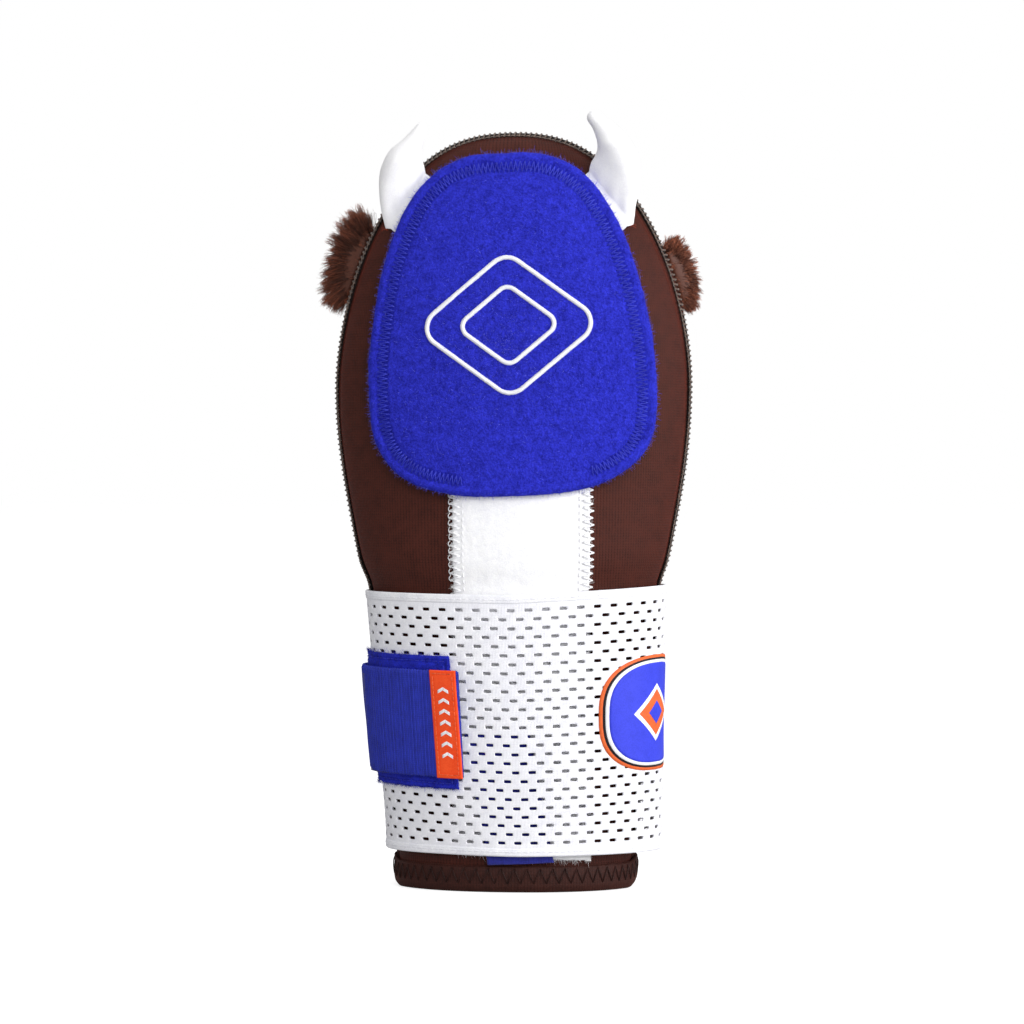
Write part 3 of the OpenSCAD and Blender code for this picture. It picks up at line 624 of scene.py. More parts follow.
def makeHem(name, turn, node):
    u = np.radians(np.linspace(-86.5, 86.5, 110)) + turn
    outside, inside = 1.35, -mitt["neoprene"] - 2.7
    wavy = 0.35 * noiseAt(np.stack([u * 40, 0 * u, 0 * u], -1), 7.0, 2.0)
    # Down the outside, under the edge and up the inside: share of the height, and how far out.
    face = [(1.0, 0.25), (1.0, outside - 0.5), (0.93, outside), (0.55, outside + 0.15),
            (0.3, outside + 0.35), (0.12, outside + 0.1), (0.03, outside - 0.6), (0.0, -1.2), (0.0, -3.4),
            (0.03, inside + 0.6), (0.12, inside), (0.55, inside + 0.1), (0.93, inside + 0.1)]
    back = [(0.93, 0.3), (0.9, 0.3), (0.85, 0.3), (0.5, 0.3), (0.3, 0.3), (0.22, 0.25), (0.17, 0.1),
            (0.14, -1.2), (0.14, -3.4), (0.17, inside + 1.5), (0.25, inside + 1.2), (0.55, inside + 1.1),
            (0.9, inside + 1.1)]
    outer = np.stack([bodyPoint(u, h * (hem["height"] + (wavy if h > 0.9 else 0)), d) for h, d in face], 1)
    inner = np.stack([bodyPoint(u, h * hem["height"], d) for h, d in back], 1)
    outer[:, :, 2] = np.maximum(outer[:, :, 2], 0)
    cloth = bothFaces(np.stack(np.broadcast_arrays((u * 38)[:, None], np.arange(13)[None] * 2.2), -1))
    piece = makePiece(name, slabMesh(outer, inner), cloths["binding"], cloth=cloth)
    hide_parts(node)


makeHem("backHem", 0, "back_cuff_binding")
makeHem("palmHem", np.pi, "palm_cuff_binding")


def makeHemStitches():
    paths = []
    t = np.linspace(0, 1, 5)
    for turn in (0, np.pi):
        count = 2 * round(84 * np.pi / 180 * 38 / hem["pitch"])
        corners = np.linspace(-84, 84, count) * np.pi / 180 + turn
        for k in range(count - 1):
            ends = (hem["stitchLow"], hem["stitchHigh"])
            start, end = ends if k % 2 else ends[::-1]
            u = corners[k] + (corners[k + 1] - corners[k]) * t
            z = start + (end - start) * t
            paths.append(bodyPoint(u, z, 1.45 + 0.25 * (z < 8) + 0.22 * np.sin(np.pi * t)))
    piece = makePiece("hemStitches", threadMesh(np.array(paths), hem["thread"], 5), cloths["hemThread"])
    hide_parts("cuff_stitching")


makeHemStitches()
print("hems made")

# The knitted lining of the hand pocket.
lining = {"topZ": 256.0, "turnZ": 220.0, "cloth": 0.8, "snug": 3.4, "inset": (12.2, 11.0)}


def liningPoint(u, z, inset):
    ramp = easeIn((z - 12) / 30)
    close = dome((z - lining["turnZ"]) / (lining["topZ"] - lining["turnZ"]), 2, 2)
    inX = lining["snug"] + (lining["inset"][0] - lining["snug"]) * ramp + inset
    inY = lining["snug"] + (lining["inset"][1] - lining["snug"]) * ramp + inset
    lift = cornerLift(u) * np.maximum(0, 1 - z / mitt["cornerFade"])
    wide, deep = (halfWidth(z + lift) - inX) * close, (halfDepth(z + lift) - inY) * close
    down = np.where(z > lining["turnZ"], inset * (1 - close), 0)
    return np.stack(np.broadcast_arrays(wide * np.sin(u), -deep * np.cos(u), z + lift - down), -1)


def makeLining():
    u = np.linspace(0, 2 * np.pi, 96, endpoint=False)
    close = np.sin(np.linspace(0.06, 1, 16) * np.pi / 2)
    z = np.concatenate([np.linspace(1.6, 214, 60), 214 + (lining["topZ"] - 214.2) * close])
    U, Z = np.meshgrid(u, z, indexing="ij")
    outer, inner = liningPoint(U, Z, 0), liningPoint(U, Z, lining["cloth"])
    crease = 0.5 * noiseAt(inner, 16.0, 6.0) * easeIn((Z - 10) / 20)
    inner[..., 0] += crease * np.sin(-U)
    inner[..., 1] += crease * np.cos(U) * 0.5
    points, faces = slabMesh(outer, inner, wrap=True)
    faces = capEnd(faces, len(u), len(z))
    cloth = bothFaces(np.stack([U * 45, Z], -1))
    piece = makePiece("handLining", (points, faces), cloths["linerKnit"], cloth=cloth)
    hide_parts("hand_liner")


makeLining()

# The parts inside keep their own shape and get their finish here.
insideFinish = {
    "back_plate": "plateSheet", "palm_plate": "plateSheet", "back_foam": "foamSkin", "palm_foam": "foamSkin",
    "tip_bumper": "foamSkin", "patch_backing": "backingFelt", "horn_tab_left": "hornPlush",
    "horn_tab_right": "hornPlush", "strap_hook_pad": "hookTape",
}
for node, finish in insideFinish.items():
    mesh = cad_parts[node].data
    for k in range(max(1, len(mesh.materials))):
        if k < len(mesh.materials):
            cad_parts[node].material_slots[k].material = cloths[finish]
        else:
            mesh.materials.append(cloths[finish])
print("lining and inner parts done")


def fibreMesh(roots, ways, lengths, radius, bend, steps=3, sides=3):  # short tapering hairs
    t = np.linspace(0, 1, steps)[None, :, None]
    reach = np.asarray(lengths)[:, None, None]
    paths = roots[:, None] + ways[:, None] * reach * t + bend[:, None] * reach * t ** 2
    thick = np.asarray(radius)[..., None] * np.linspace(1, 0.3, steps)[None]
    return threadMesh(paths, thick, sides)


# The felt patch, egg-shaped and laid over the fingers.
patch = {
    "halfWidth": 52.4, "rise": 85.8, "drop": 41.3, "tilt": math.radians(2.3), "x": -0.1, "z": 189.8,
    "low": 2.6, "high": 5.2, "edge": 1.5, "groove": 0.8, "fibres": 5200,
    "stitchOuter": 3.4, "stitchInner": 7.4, "stitchPitch": 1.75, "thread": 0.16,
    "openX": 24.0, "openAt": 3.7,  # half width and middle of the gap in the zigzag
}


def eggHalf(pz):
    up = dome(pz / patch["rise"], 1.68, 2.97)
    down = dome(-pz / patch["drop"], 3, 2.8)
    return patch["halfWidth"] * np.where(pz > 0, up, down)


def patchPoint(px, pz, d):
    c, s = math.cos(patch["tilt"]), math.sin(patch["tilt"])
    return atX(patch["x"] + px * c - pz * s, patch["z"] + px * s + pz * c, d)


def eggOutline(step):
    t = np.linspace(0, 1, 500)
    pz = np.concatenate([-patch["drop"] * (1 - t ** 2), patch["rise"] * np.sin(t[1:] * np.pi / 2)])
    half = eggHalf(pz)
    ring = np.concatenate([np.stack([half, pz], 1), np.stack([-half, pz], 1)[::-1]])
    return evenly(ring[np.append(True, np.linalg.norm(np.diff(ring, axis=0), axis=1) > 1e-6)], step, True)


def insetLine(line, reach):  # a closed flat line moved inward
    way = unit(np.roll(line, -1, 0) - np.roll(line, 1, 0))
    return line + np.stack([-way[:, 1], way[:, 0]], 1) * np.asarray(reach)[..., None]


def openOverTape(flat):  # 1 where the zigzag runs, 0 over the white tape
    besides = np.abs(flat[:, 0] - patch["openAt"])
    return 1 - easeIn((patch["openX"] + 2 - besides) / 3) * easeIn((-25 - flat[:, 1]) / 3)


def makePatch():
    outline = eggOutline(1.15)
    count = len(outline)
    sewn = openOverTape(outline)
    onFlat = np.pad(outline, ((0, 0), (0, 1)))
    ragged = 0.22 * noiseAt(onFlat, 2.2, 4.0) + 0.3 * noiseAt(onFlat, 11.0, 1.0)
    insets = np.concatenate([[0.0, 0.12, 0.45, 0.95, 1.6], np.arange(2.2, 9.0, 0.5), [9.6, 10.6, 12, 14]])
    middle = np.array([0.0, 14.0])
    rings = [insetLine(outline, i - ragged) for i in insets]
    rings += [middle + (rings[-1] - middle) * share for share in np.linspace(0.95, 0.02, 34)]
    top, bottom = [], []
    for k, ring in enumerate(rings):
        inset = insets[k] if k < len(insets) else 20.0
        roll = patch["edge"] * (1 - np.sqrt(1 - (1 - min(inset / patch["edge"], 1)) ** 2))
        between = (inset - patch["stitchOuter"] + 0.3) / (patch["stitchInner"] - patch["stitchOuter"] + 0.6)
        dip = patch["groove"] * sewn * (np.sin(np.pi * np.clip(between, 0, 1)) ** 0.7)
        flat = np.pad(ring, ((0, 0), (0, 1)))
        lump = 0.1 * noiseAt(flat, 1.3, 2.0) + 0.22 * noiseAt(flat, 6.0, 7.0)
        puff = 0.4 * math.exp(-((inset - 1.7) / 1.1) ** 2)
        lift = patch["high"] - roll - dip + lump * min(1, inset) + puff
        top.append(patchPoint(ring[:, 0], ring[:, 1], lift))
        bottom.append(patchPoint(ring[:, 0] * 0.996, ring[:, 1] * 0.996, patch["low"]))
    points, faces = slabMesh(np.stack(top, 1), np.stack(bottom, 1), wrap=True)
    felt = makePiece("feltPatch", (points, capEnd(faces, count, len(rings))), cloths["felt"])
    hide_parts("felt_patch")

    rng = np.random.default_rng(11)
    many = patch["fibres"]
    pick = rng.integers(0, count, many)
    share = rng.random(many)
    deep = np.where(share < 0.42, rng.random(many) * 1.3, 1.2 + rng.random(many) ** 0.8 * 53)
    base = insetLine(outline, np.zeros(count))[pick]
    ahead = insetLine(outline, np.ones(count))[pick] - base
    place = np.where(deep[:, None] < 14, base + ahead * deep[:, None],
                     middle + (base + ahead * 14 - middle) * (1 - (deep[:, None] - 14) / 41))
    spot = rng.random(many)[:, None]
    place = place + (rng.random((many, 2)) - 0.5) * 0.8 * (spot > 0.2)
    rim = np.clip(1 - deep / 1.3, 0, 1)
    root = patchPoint(place[:, 0], place[:, 1], patch["high"] - 0.25 - 1.9 * rim * rng.random(many))
    way = unit(patchPoint(place[:, 0], place[:, 1], patch["high"] + 0.75) - root)
    side = rng.normal(size=way.shape)
    outward = np.stack([-ahead[:, 0], 0 * ahead[:, 0], -ahead[:, 1]], 1) * rim[:, None] * 2.0
    way = unit(way * np.where(rim > 0, 0.5, 0.22)[:, None] + side * 0.6 + outward)
    length = np.where(rim > 0, 0.7 + 0.8 * rng.random(len(rim)), 0.9 + 0.9 * rng.random(len(rim)))
    curl = rng.normal(size=way.shape) * 0.35
    fuzz = makePiece("feltFibres", fibreMesh(root, way, length, 0.055 + 0.02 * rng.random(many), curl),
                     cloths["feltFibre"])
    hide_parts("felt_patch")

    corners = insetLine(evenly(outline, patch["stitchPitch"], True), np.zeros(1))
    line = insetLine(corners, np.full(len(corners), patch["stitchOuter"]))
    inner = insetLine(corners, np.full(len(corners), patch["stitchInner"]))
    inner = (inner + np.roll(inner, -1, 0)) / 2
    keep = openOverTape(corners) > 0.5
    t = np.linspace(0, 1, 5)[None, :, None]
    paths = []
    for a, b in ((line, inner), (inner, np.roll(line, -1, 0))):
        flat = (a[:, None] + (b - a)[:, None] * t)[keep]
        wander = 0.12 * (np.random.default_rng(3).random(flat.shape[0]) - 0.5)
        lift = 0.12 + 0.32 * np.sin(np.pi * t[0, :, 0])[None] - 0.25 * (np.abs(t[0, :, 0] - 0.5) > 0.45)
        paths.append(patchPoint(flat[..., 0] + wander[:, None], flat[..., 1], patch["high"] - 0.22 + lift))
    stitches = makePiece("patchZigzag", threadMesh(np.concatenate(paths), patch["thread"], 6),
                         cloths["feltThread"])
    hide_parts("patch_stitching")


makePatch()
print("patch made")

# The mark on the patch: two nested diamonds in raised satin stitch.
mark = {"height": 22.0, "half": (34.0, 27.0), "inner": 0.56, "round": 7.0, "width": 1.5, "step": 0.34,
        "thread": 0.19}


def diamondLine(share, step):
    halfX, halfZ, r = mark["half"][0] * share, mark["half"][1] * share, mark["round"] * share
    tilt = math.atan2(halfZ, halfX)
    ring = []
    for turn in range(4):
        tall = turn % 2 == 1
        reach = halfZ - r / math.cos(tilt) if tall else halfX - r / math.sin(tilt)
        span = tilt if tall else math.pi / 2 - tilt
        for k in np.linspace(-1, 1, 15):
            a = turn * math.pi / 2 + span * k
            centre = np.array([math.cos(turn * math.pi / 2), math.sin(turn * math.pi / 2)]) * reach
            ring.append(centre + r * np.array([math.cos(a), math.sin(a)]))
    return evenly(np.array(ring), step, True) + np.array([0, mark["height"]])


def makeMark():
    parts = []
    rng = np.random.default_rng(5)
    crown = ((0, -0.12), (0.12, 0.3), (0.32, 0.52), (0.5, 0.6), (0.68, 0.52), (0.88, 0.3), (1, -0.12))
    for share in (1, mark["inner"]):
        line = diamondLine(share, mark["step"])
        edgeA = insetLine(line, mark["width"] / 2 + 0.1 * (rng.random(len(line)) - 0.4))
        edgeB = insetLine(line, -mark["width"] / 2 - 0.1 * (rng.random(len(line)) - 0.4))
        edgeB = np.roll(edgeB, -1, 0)  # satin threads lean a little along the line
        threads = []
        for t, lift in crown:
            flat = edgeA + (edgeB - edgeA) * t
            threads.append(patchPoint(flat[:, 0], flat[:, 1], patch["high"] + lift))
        parts.append(threadMesh(np.stack(threads, 1), mark["thread"], 6))
        ribbon = diamondLine(share, 1.0)
        tops, lows = [], []
        for w, lift in ((-0.5, 0.0), (-0.25, 0.3), (0, 0.38), (0.25, 0.3), (0.5, 0.0)):
            flat = insetLine(ribbon, np.full(len(ribbon), w * mark["width"]))
            tops.append(patchPoint(flat[:, 0], flat[:, 1], patch["high"] + lift))
            lows.append(patchPoint(flat[:, 0], flat[:, 1], patch["high"] - 0.5))
        parts.append(slabMesh(np.stack(tops, 1), np.stack(lows, 1), wrap=True))
    piece = makePiece("diamondMark", joined(parts), cloths["satinThread"])
    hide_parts("patch_embroidery")


makeMark()
print("mark made")

# The white loop tape down the middle, its zigzag edges, and the keeper strap over its foot.
tape = {"x": 3.7, "half": 25.5, "low": 13.6, "high": 175.0, "slant": 1.8, "thick": 1.25,
        "pitch": 2.6, "bite": 1.1, "hold": 2.6, "thread": 0.3, "needle": 3.9, "sewnFrom": 17.0,
        "sewnTo": 150.0, "fluff": 900}


def makeTape():
    z = np.linspace(tape["low"], tape["high"], 210)
    side = np.sin(np.linspace(-1, 1, 74) * np.pi / 2) * 0.45 + np.linspace(-1, 1, 74) * 0.55
    X, Z = np.meshgrid(side, z, indexing="ij")
    Z = Z - tape["slant"] * X * np.clip(1 - (Z - tape["low"]) / 30, 0, 1)
    frayed = 0.35 * noiseAt(np.stack([np.sign(X) * 9, 0 * X, Z], -1), 1.1, 3.0)
    bottomFray = 0.6 * noiseAt(np.stack([X * 27, 0 * X, 0 * X], -1), 1.3, 6.0) * (Z < tape["low"] + 0.5)
    x = X * (tape["half"] + frayed)
    flat = np.stack([x, 0 * x, Z], -1)
    pile = 0.16 * noiseAt(flat, 0.9, 1.0) + 0.16 * noiseAt(flat, 4.0, 5.0)
    sewn = 0.35 * np.exp(-((np.abs(x) - tape["half"] + 1.4) / 1.5) ** 2)
    edge = 0.5 * np.clip((np.abs(X) - 0.975) / 0.025, 0, 1)
    top = atX(tape["x"] + x, Z + bottomFray, 0.3 + tape["thick"] + pile - sewn - edge)
    low = atX(tape["x"] + x, Z, 0.25)
    piece = makePiece("loopTape", slabMesh(top, low), cloths["whiteLoop"])
    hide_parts("loop_strip")
    paths = []
    rng = np.random.default_rng(8)
    for sign in (-1, 1):
        z = np.arange(tape["sewnFrom"], tape["sewnTo"], tape["pitch"])
        t = np.linspace(0, 1, 6)
        for start in z:
            outer = tape["half"] + tape["bite"] + 0.5 * rng.random()
            inner = tape["half"] - tape["hold"] - 0.3 * rng.random()
            for half in (0, 1):
                a, b = (outer, inner) if half else (inner, outer)
                at = start + tape["pitch"] * (0.5 * half + 0.5 * t)
                x = a + (b - a) * t
                d = 0.5 + 1.25 * easeIn((tape["half"] + 0.5 - x) / 1.3) + 0.2 * np.sin(np.pi * t)
                paths.append(atX(tape["x"] + sign * x, at, d))
    loops = []
    for start in np.arange(116, 148, tape["pitch"]):  # stray loops of thread at the left edge
        t = np.linspace(0, 1, 6)
        bow = tape["half"] + tape["bite"] + (0.3 + 0.4 * rng.random()) * np.sin(np.pi * t)
        at = start + tape["pitch"] * (0.2 + 0.9 * t)
        loops.append(atX(tape["x"] - bow, at, 0.6 + 0.3 * np.sin(np.pi * t)))
    dots = []
    for sign in (-1, 1):
        z = np.arange(tape["sewnFrom"], tape["sewnTo"], tape["pitch"])
        t = np.linspace(0, 1, 6)[None]
        x = np.full((len(z), 6), sign * (tape["half"] - tape["needle"]))
        dots.append(atX(tape["x"] + x, z[:, None] + 1.3 * t, 1.5 + 0.28 * np.sin(np.pi * t) + 0 * x))
    parts = [threadMesh(np.array(paths), tape["thread"], 6), threadMesh(np.array(loops), 0.16, 5)]
    parts += [threadMesh(d, 0.22, 5) for d in dots]
    stitches = makePiece("tapeZigzag", joined(parts), cloths["satinThread"])
    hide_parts("strip_stitching")
    count = tape["fluff"]  # loose pile along the tape's edges and foot
    where = rng.random(count)
    edgeZ = tape["low"] + (150 - tape["low"]) * rng.random(count)
    foot = where < 0.4
    x = np.where(foot, rng.random(count) * 2 - 1, np.sign(rng.random(count) - 0.5)) * tape["half"]
    z = np.where(foot, tape["low"] + 0.2 - tape["slant"] * x / tape["half"], edgeZ)
    root = atX(tape["x"] + x, z, 0.6 + 0.7 * rng.random(count))
    way = rng.normal(size=(count, 3)) * 0.5
    way[:, 0] += np.where(foot, 0, np.sign(x) * 0.9)
    way[:, 2] -= np.where(foot, 1.1, 0)
    way[:, 1] -= 0.4
    way = unit(way)
    fluff = makePiece("tapeFluff", fibreMesh(root, way, 0.8 + 0.9 * rng.random(count), 0.06 + 0 * z,
                                             rng.normal(size=way.shape) * 0.5), cloths["whiteLoop"])
    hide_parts("loop_strip")


makeTape()

# The keeper runs up from the hem over the tape and leans to the left.
keeper = {"low": 11.2, "high": 60.0, "half": 12.0, "slant": (3.6, -5.0), "from": 2.0, "to": 3.0}


def makeKeeper():
    side, up = np.linspace(-1, 1, 34), np.linspace(0, 1, 60)
    S, T = np.meshgrid(side, up, indexing="ij")
    z = keeper["low"] + (keeper["high"] - keeper["low"]) * T + 0.5 * S * (T < 0.02)
    x = keeper["slant"][0] + (keeper["slant"][1] - keeper["slant"][0]) * T + keeper["half"] * S
    edge = 0.18 * np.exp(-((np.abs(S) - 0.93) / 0.05) ** 2) - 0.3 * (np.abs(S) > 0.985)
    ribs = 0.07 * np.sin(S * 34) * np.cos(T * 150)
    top, low = atX(x, z, keeper["to"] + edge + ribs), atX(x, z, keeper["from"])
    piece = makePiece("keeperStrap", slabMesh(top, low), cloths["keeperWebbing"],
                      cloth=bothFaces(np.stack([x, z], -1)))
    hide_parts("band_keeper")


makeKeeper()
print("tape and keeper made")

# The mesh wrist band: a knitted net with rows of short slots, each row half a slot on from the last.
net = {"around": 43, "rows": 27, "slot": (2.8, 1.2), "low": 3.6, "high": 4.2, "lip": 0.12}
bandTable = np.linspace(-np.pi, np.pi, 1441)


def bandU(share):  # the angle at a share of the way round, evenly by length
    ring = bandPoint(bandTable, (band["footZ"] + band["topZ"]) / 2, 0)
    along = np.concatenate([[0], np.cumsum(np.linalg.norm(np.diff(ring[:, :2], axis=0), axis=1))])
    return np.interp(np.asarray(share) * along[-1], along, bandTable)


def makeBand():
    fine = net["around"] * 4
    tall = (band["topZ"] - band["footZ"] - net["low"] - net["high"]) / net["rows"]
    rowZ = band["footZ"] + net["low"] + tall * np.arange(net["rows"] + 1)
    length = np.linalg.norm(np.diff(bandPoint(bandTable, 60, 0)[:, :2], axis=0), axis=1).sum()
    step = length / fine
    points, faces, cloth = [], [], []

    def add(share, z, d):  # shares of the way round, in quarter slots
        share = np.asarray(share, float)
        z = np.broadcast_to(np.asarray(z, float), share.shape)
        first = sum(len(p) for p in points)
        points.append(bandPoint(bandU((share / fine) % 1.0), z, d))
        cloth.append(np.stack([share * step, z], -1))
        return first + np.arange(len(share))

    quarter = np.arange(fine)
    thick = band["cloth"]
    sheets = []
    for d in (thick, 0.0):
        lip = net["lip"] if d else -net["lip"]
        grid = [add(quarter, z, d) for z in rowZ]
        low = [add(quarter, z, d) for z in np.linspace(band["footZ"], rowZ[0], 4)[:-1]]
        high = [add(quarter, z, d) for z in np.linspace(rowZ[-1], band["topZ"], 4)[1:]]
        solid = low + [grid[0]]
        tops = [grid[-1]] + high
        for rows in (solid, tops):
            for a, b in zip(rows[:-1], rows[1:]):
                faces.extend([[a[k], a[(k + 1) % fine], b[(k + 1) % fine], b[k]] for k in range(fine)])
        holes = []
        for r in range(net["rows"]):
            shift = 2 * (r % 2)
            starts = shift + 4 * np.arange(net["around"])
            sides = add(starts, (rowZ[r] + rowZ[r + 1]) / 2, d)
            loops = []
            for scale, off in ((1.0, 0.0), (1.28, lip)):
                angle = np.radians([215, 238, 270, 302, 325, 0, 35, 58, 90, 122, 145, 180])
                x = signedPower(np.cos(angle), 0.35) * net["slot"][0] / 2 * scale
                z = signedPower(np.sin(angle), 0.4) * net["slot"][1] / 2 * (1 if scale == 1 else 1.55)
                share = (starts[:, None] + 2 + x[None] / step).ravel()
                at = np.tile((rowZ[r] + rowZ[r + 1]) / 2 + z, net["around"])
                loops.append(add(share, at, d + off).reshape(net["around"], 12))
            for c in range(net["around"]):
                k = [(starts[c] + j) % fine for j in range(5)]
                border = [grid[r][j] for j in k] + [sides[(c + 1) % net["around"]]]
                border += [grid[r + 1][j] for j in reversed(k)] + [sides[c]]
                mid, hole = loops[1][c], loops[0][c]
                for a, b in ((border, mid), (mid, hole)):
                    faces.extend([[a[j], a[(j + 1) % 12], b[(j + 1) % 12], b[j]] for j in range(12)])
                holes.append(hole)
        sheets.append((holes, low[0], high[-1]))
    for a, b in zip(sheets[0][0], sheets[1][0]):
        faces.extend([[a[j], a[(j + 1) % 12], b[(j + 1) % 12], b[j]] for j in range(12)])
    for edge in (1, 2):
        a, b = sheets[0][edge], sheets[1][edge]
        faces.extend([[a[k], b[k], b[(k + 1) % fine], a[(k + 1) % fine]] for k in range(fine)])
    faces = [[int(v) for v in f] for f in faces]
    piece = makePiece("meshBand", (np.concatenate(points), faces), cloths["bandMesh"],
                      cloth=np.concatenate(cloth))
    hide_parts("mesh_band")


makeBand()
print("mesh band made")

# Its turned edges, the join and the tacks on the palm side.
turned = {"width": 3.1, "thick": 0.32, "stitches": 112, "thread": 0.15}


def makeBandEdges():
    u = np.linspace(0, 2 * np.pi, 220, endpoint=False)
    top = band["cloth"] + 0.05
    parts, paths = [], []
    for z, sign in ((band["footZ"] + 0.1, 1), (band["topZ"] - 0.1, -1)):
        profile = [(0.0, 0.02), (0.06, 0.24), (0.2, turned["thick"]), (0.5, 0.2),
                   (0.8, turned["thick"] * 0.9), (0.95, 0.2), (1.0, 0.03)]
        outer = np.stack([bandPoint(u, z + sign * turned["width"] * w, top + d) for w, d in profile], 1)
        inner = np.stack([bandPoint(u, z + sign * turned["width"] * w, top - 0.03) for w, d in profile], 1)
        parts.append(slabMesh(outer, inner, wrap=True))
        count = turned["stitches"]
        start = bandU(np.arange(count) / count)
        end = bandU((np.arange(count) + 0.72) / count)
        t = np.linspace(0, 1, 5)
        U = start[:, None] + (end - start)[:, None] * t[None]
        lift = top + 0.22 + 0.14 * np.sin(np.pi * t)[None]
        paths.append(bandPoint(U, z + sign * turned["width"] * 0.55, lift))
    stitched = joined(parts + [threadMesh(p, turned["thread"], 5) for p in paths])
    piece = makePiece("bandEdges", stitched, cloths["bandEdge"])
    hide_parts("band_edge_tapes")
    side, up = np.radians(np.linspace(170, 178, 12)), np.linspace(band["footZ"] + 4, band["topZ"] - 4, 60)
    U, Z = np.meshgrid(side, up, indexing="ij")
    rise = 0.55 * np.sin(np.pi * (U - side[0]) / (side[-1] - side[0])) ** 0.5
    strip = slabMesh(bandPoint(U, Z, 0.95 + rise), bandPoint(U, Z, 0.88))
    rows = []
    for at in (171.3, 176.7):
        z = np.arange(band["footZ"] + 6, band["topZ"] - 8, 2.6)[:, None] + np.linspace(0, 1.9, 5)[None]
        lift = 1.42 + 0.1 * np.sin(np.linspace(0, np.pi, 5))[None]
        rows.append(bandPoint(np.full(z.shape, np.radians(at)), z, lift))
    join = makePiece("bandJoin", joined([strip] + [threadMesh(r, 0.14, 5) for r in rows]), cloths["bandEdge"])
    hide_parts("band_join_strip")
    bars = []
    for at in (150, 200):
        for z in (band["footZ"] + 8, band["topZ"] - 12):
            for k in range(26):
                t = np.linspace(0, 1, 4)
                low = z + 2.5 * t
                bars.append(bandPoint(np.radians(at + 6 * k / 25), low, 1.0 + 0.22 * np.sin(np.pi * t)))
    tacks = makePiece("bandTacks", threadMesh(np.array(bars), 0.17, 5), cloths["satinThread"])
    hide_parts("band_tacks")


makeBandEdges()

# The printed badge on the right of the band: rim, line, white line and field, with two nested diamonds.
badge = {"u": math.radians(72), "half": math.radians(37), "z": 66.0, "halfTall": 21.5,
         "rings": (("badgeOrange", 1.0, 0.0), ("badgeNavy", 0.95, 0.05), ("badgeWhite", 0.915, 0.1),
                   ("badgeBlue", 0.865, 0.15))}


def badgePatch(scale, shape, d):
    sides, rings = 72, 22
    ring = np.linspace(0, 2 * np.pi, sides, endpoint=False)
    if shape == "oval":
        x, y = signedPower(np.cos(ring), 0.72), signedPower(np.sin(ring), 0.72)
    else:
        size = np.abs(np.cos(ring)) + np.abs(np.sin(ring))
        x, y = np.cos(ring) / size, np.sin(ring) / size
    share = np.linspace(1, 0.02, rings)
    U = badge["u"] + badge["half"] * scale * x[:, None] * share[None]
    Z = badge["z"] + badge["halfTall"] * scale * y[:, None] * share[None]
    top, low = bandPoint(U, Z, d), bandPoint(U, Z, d - 0.12)
    points, faces = slabMesh(top, low, wrap=True)
    return points, capEnd(faces, sides, rings)


def makeBadge():
    for name, scale, lift in badge["rings"]:
        piece = makePiece(name, badgePatch(scale, "oval", 1.0 + lift), cloths[name])
        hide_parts("band_badge")
    for k, (finish, scale) in enumerate((("badgeWhite", 0.5), ("badgeOrange", 0.4), ("badgeBlue", 0.2))):
        piece = makePiece("badgeDiamond%d" % (k + 1), badgePatch(scale, "diamond", 1.2 + 0.05 * k),
                          cloths[finish])
        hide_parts("band_badge")


makeBadge()
print("band edges and badge made")

# The loop patch and the ribbed strap that closes over it.
closure = {
    "loopU": (-101.0, -24.5), "loopZ": (39.7, 89.7), "loopD": (0.95, 2.3), "loopTilt": 1.2,
    "strapU": (-150.0, -20.6), "strapZ": (44.3, 84.3), "strapD": (3.5, 4.9), "rib": 1.3, "ribHigh": 0.34,
    "rootDrop": 2.5, "hinge": -90.6,
}


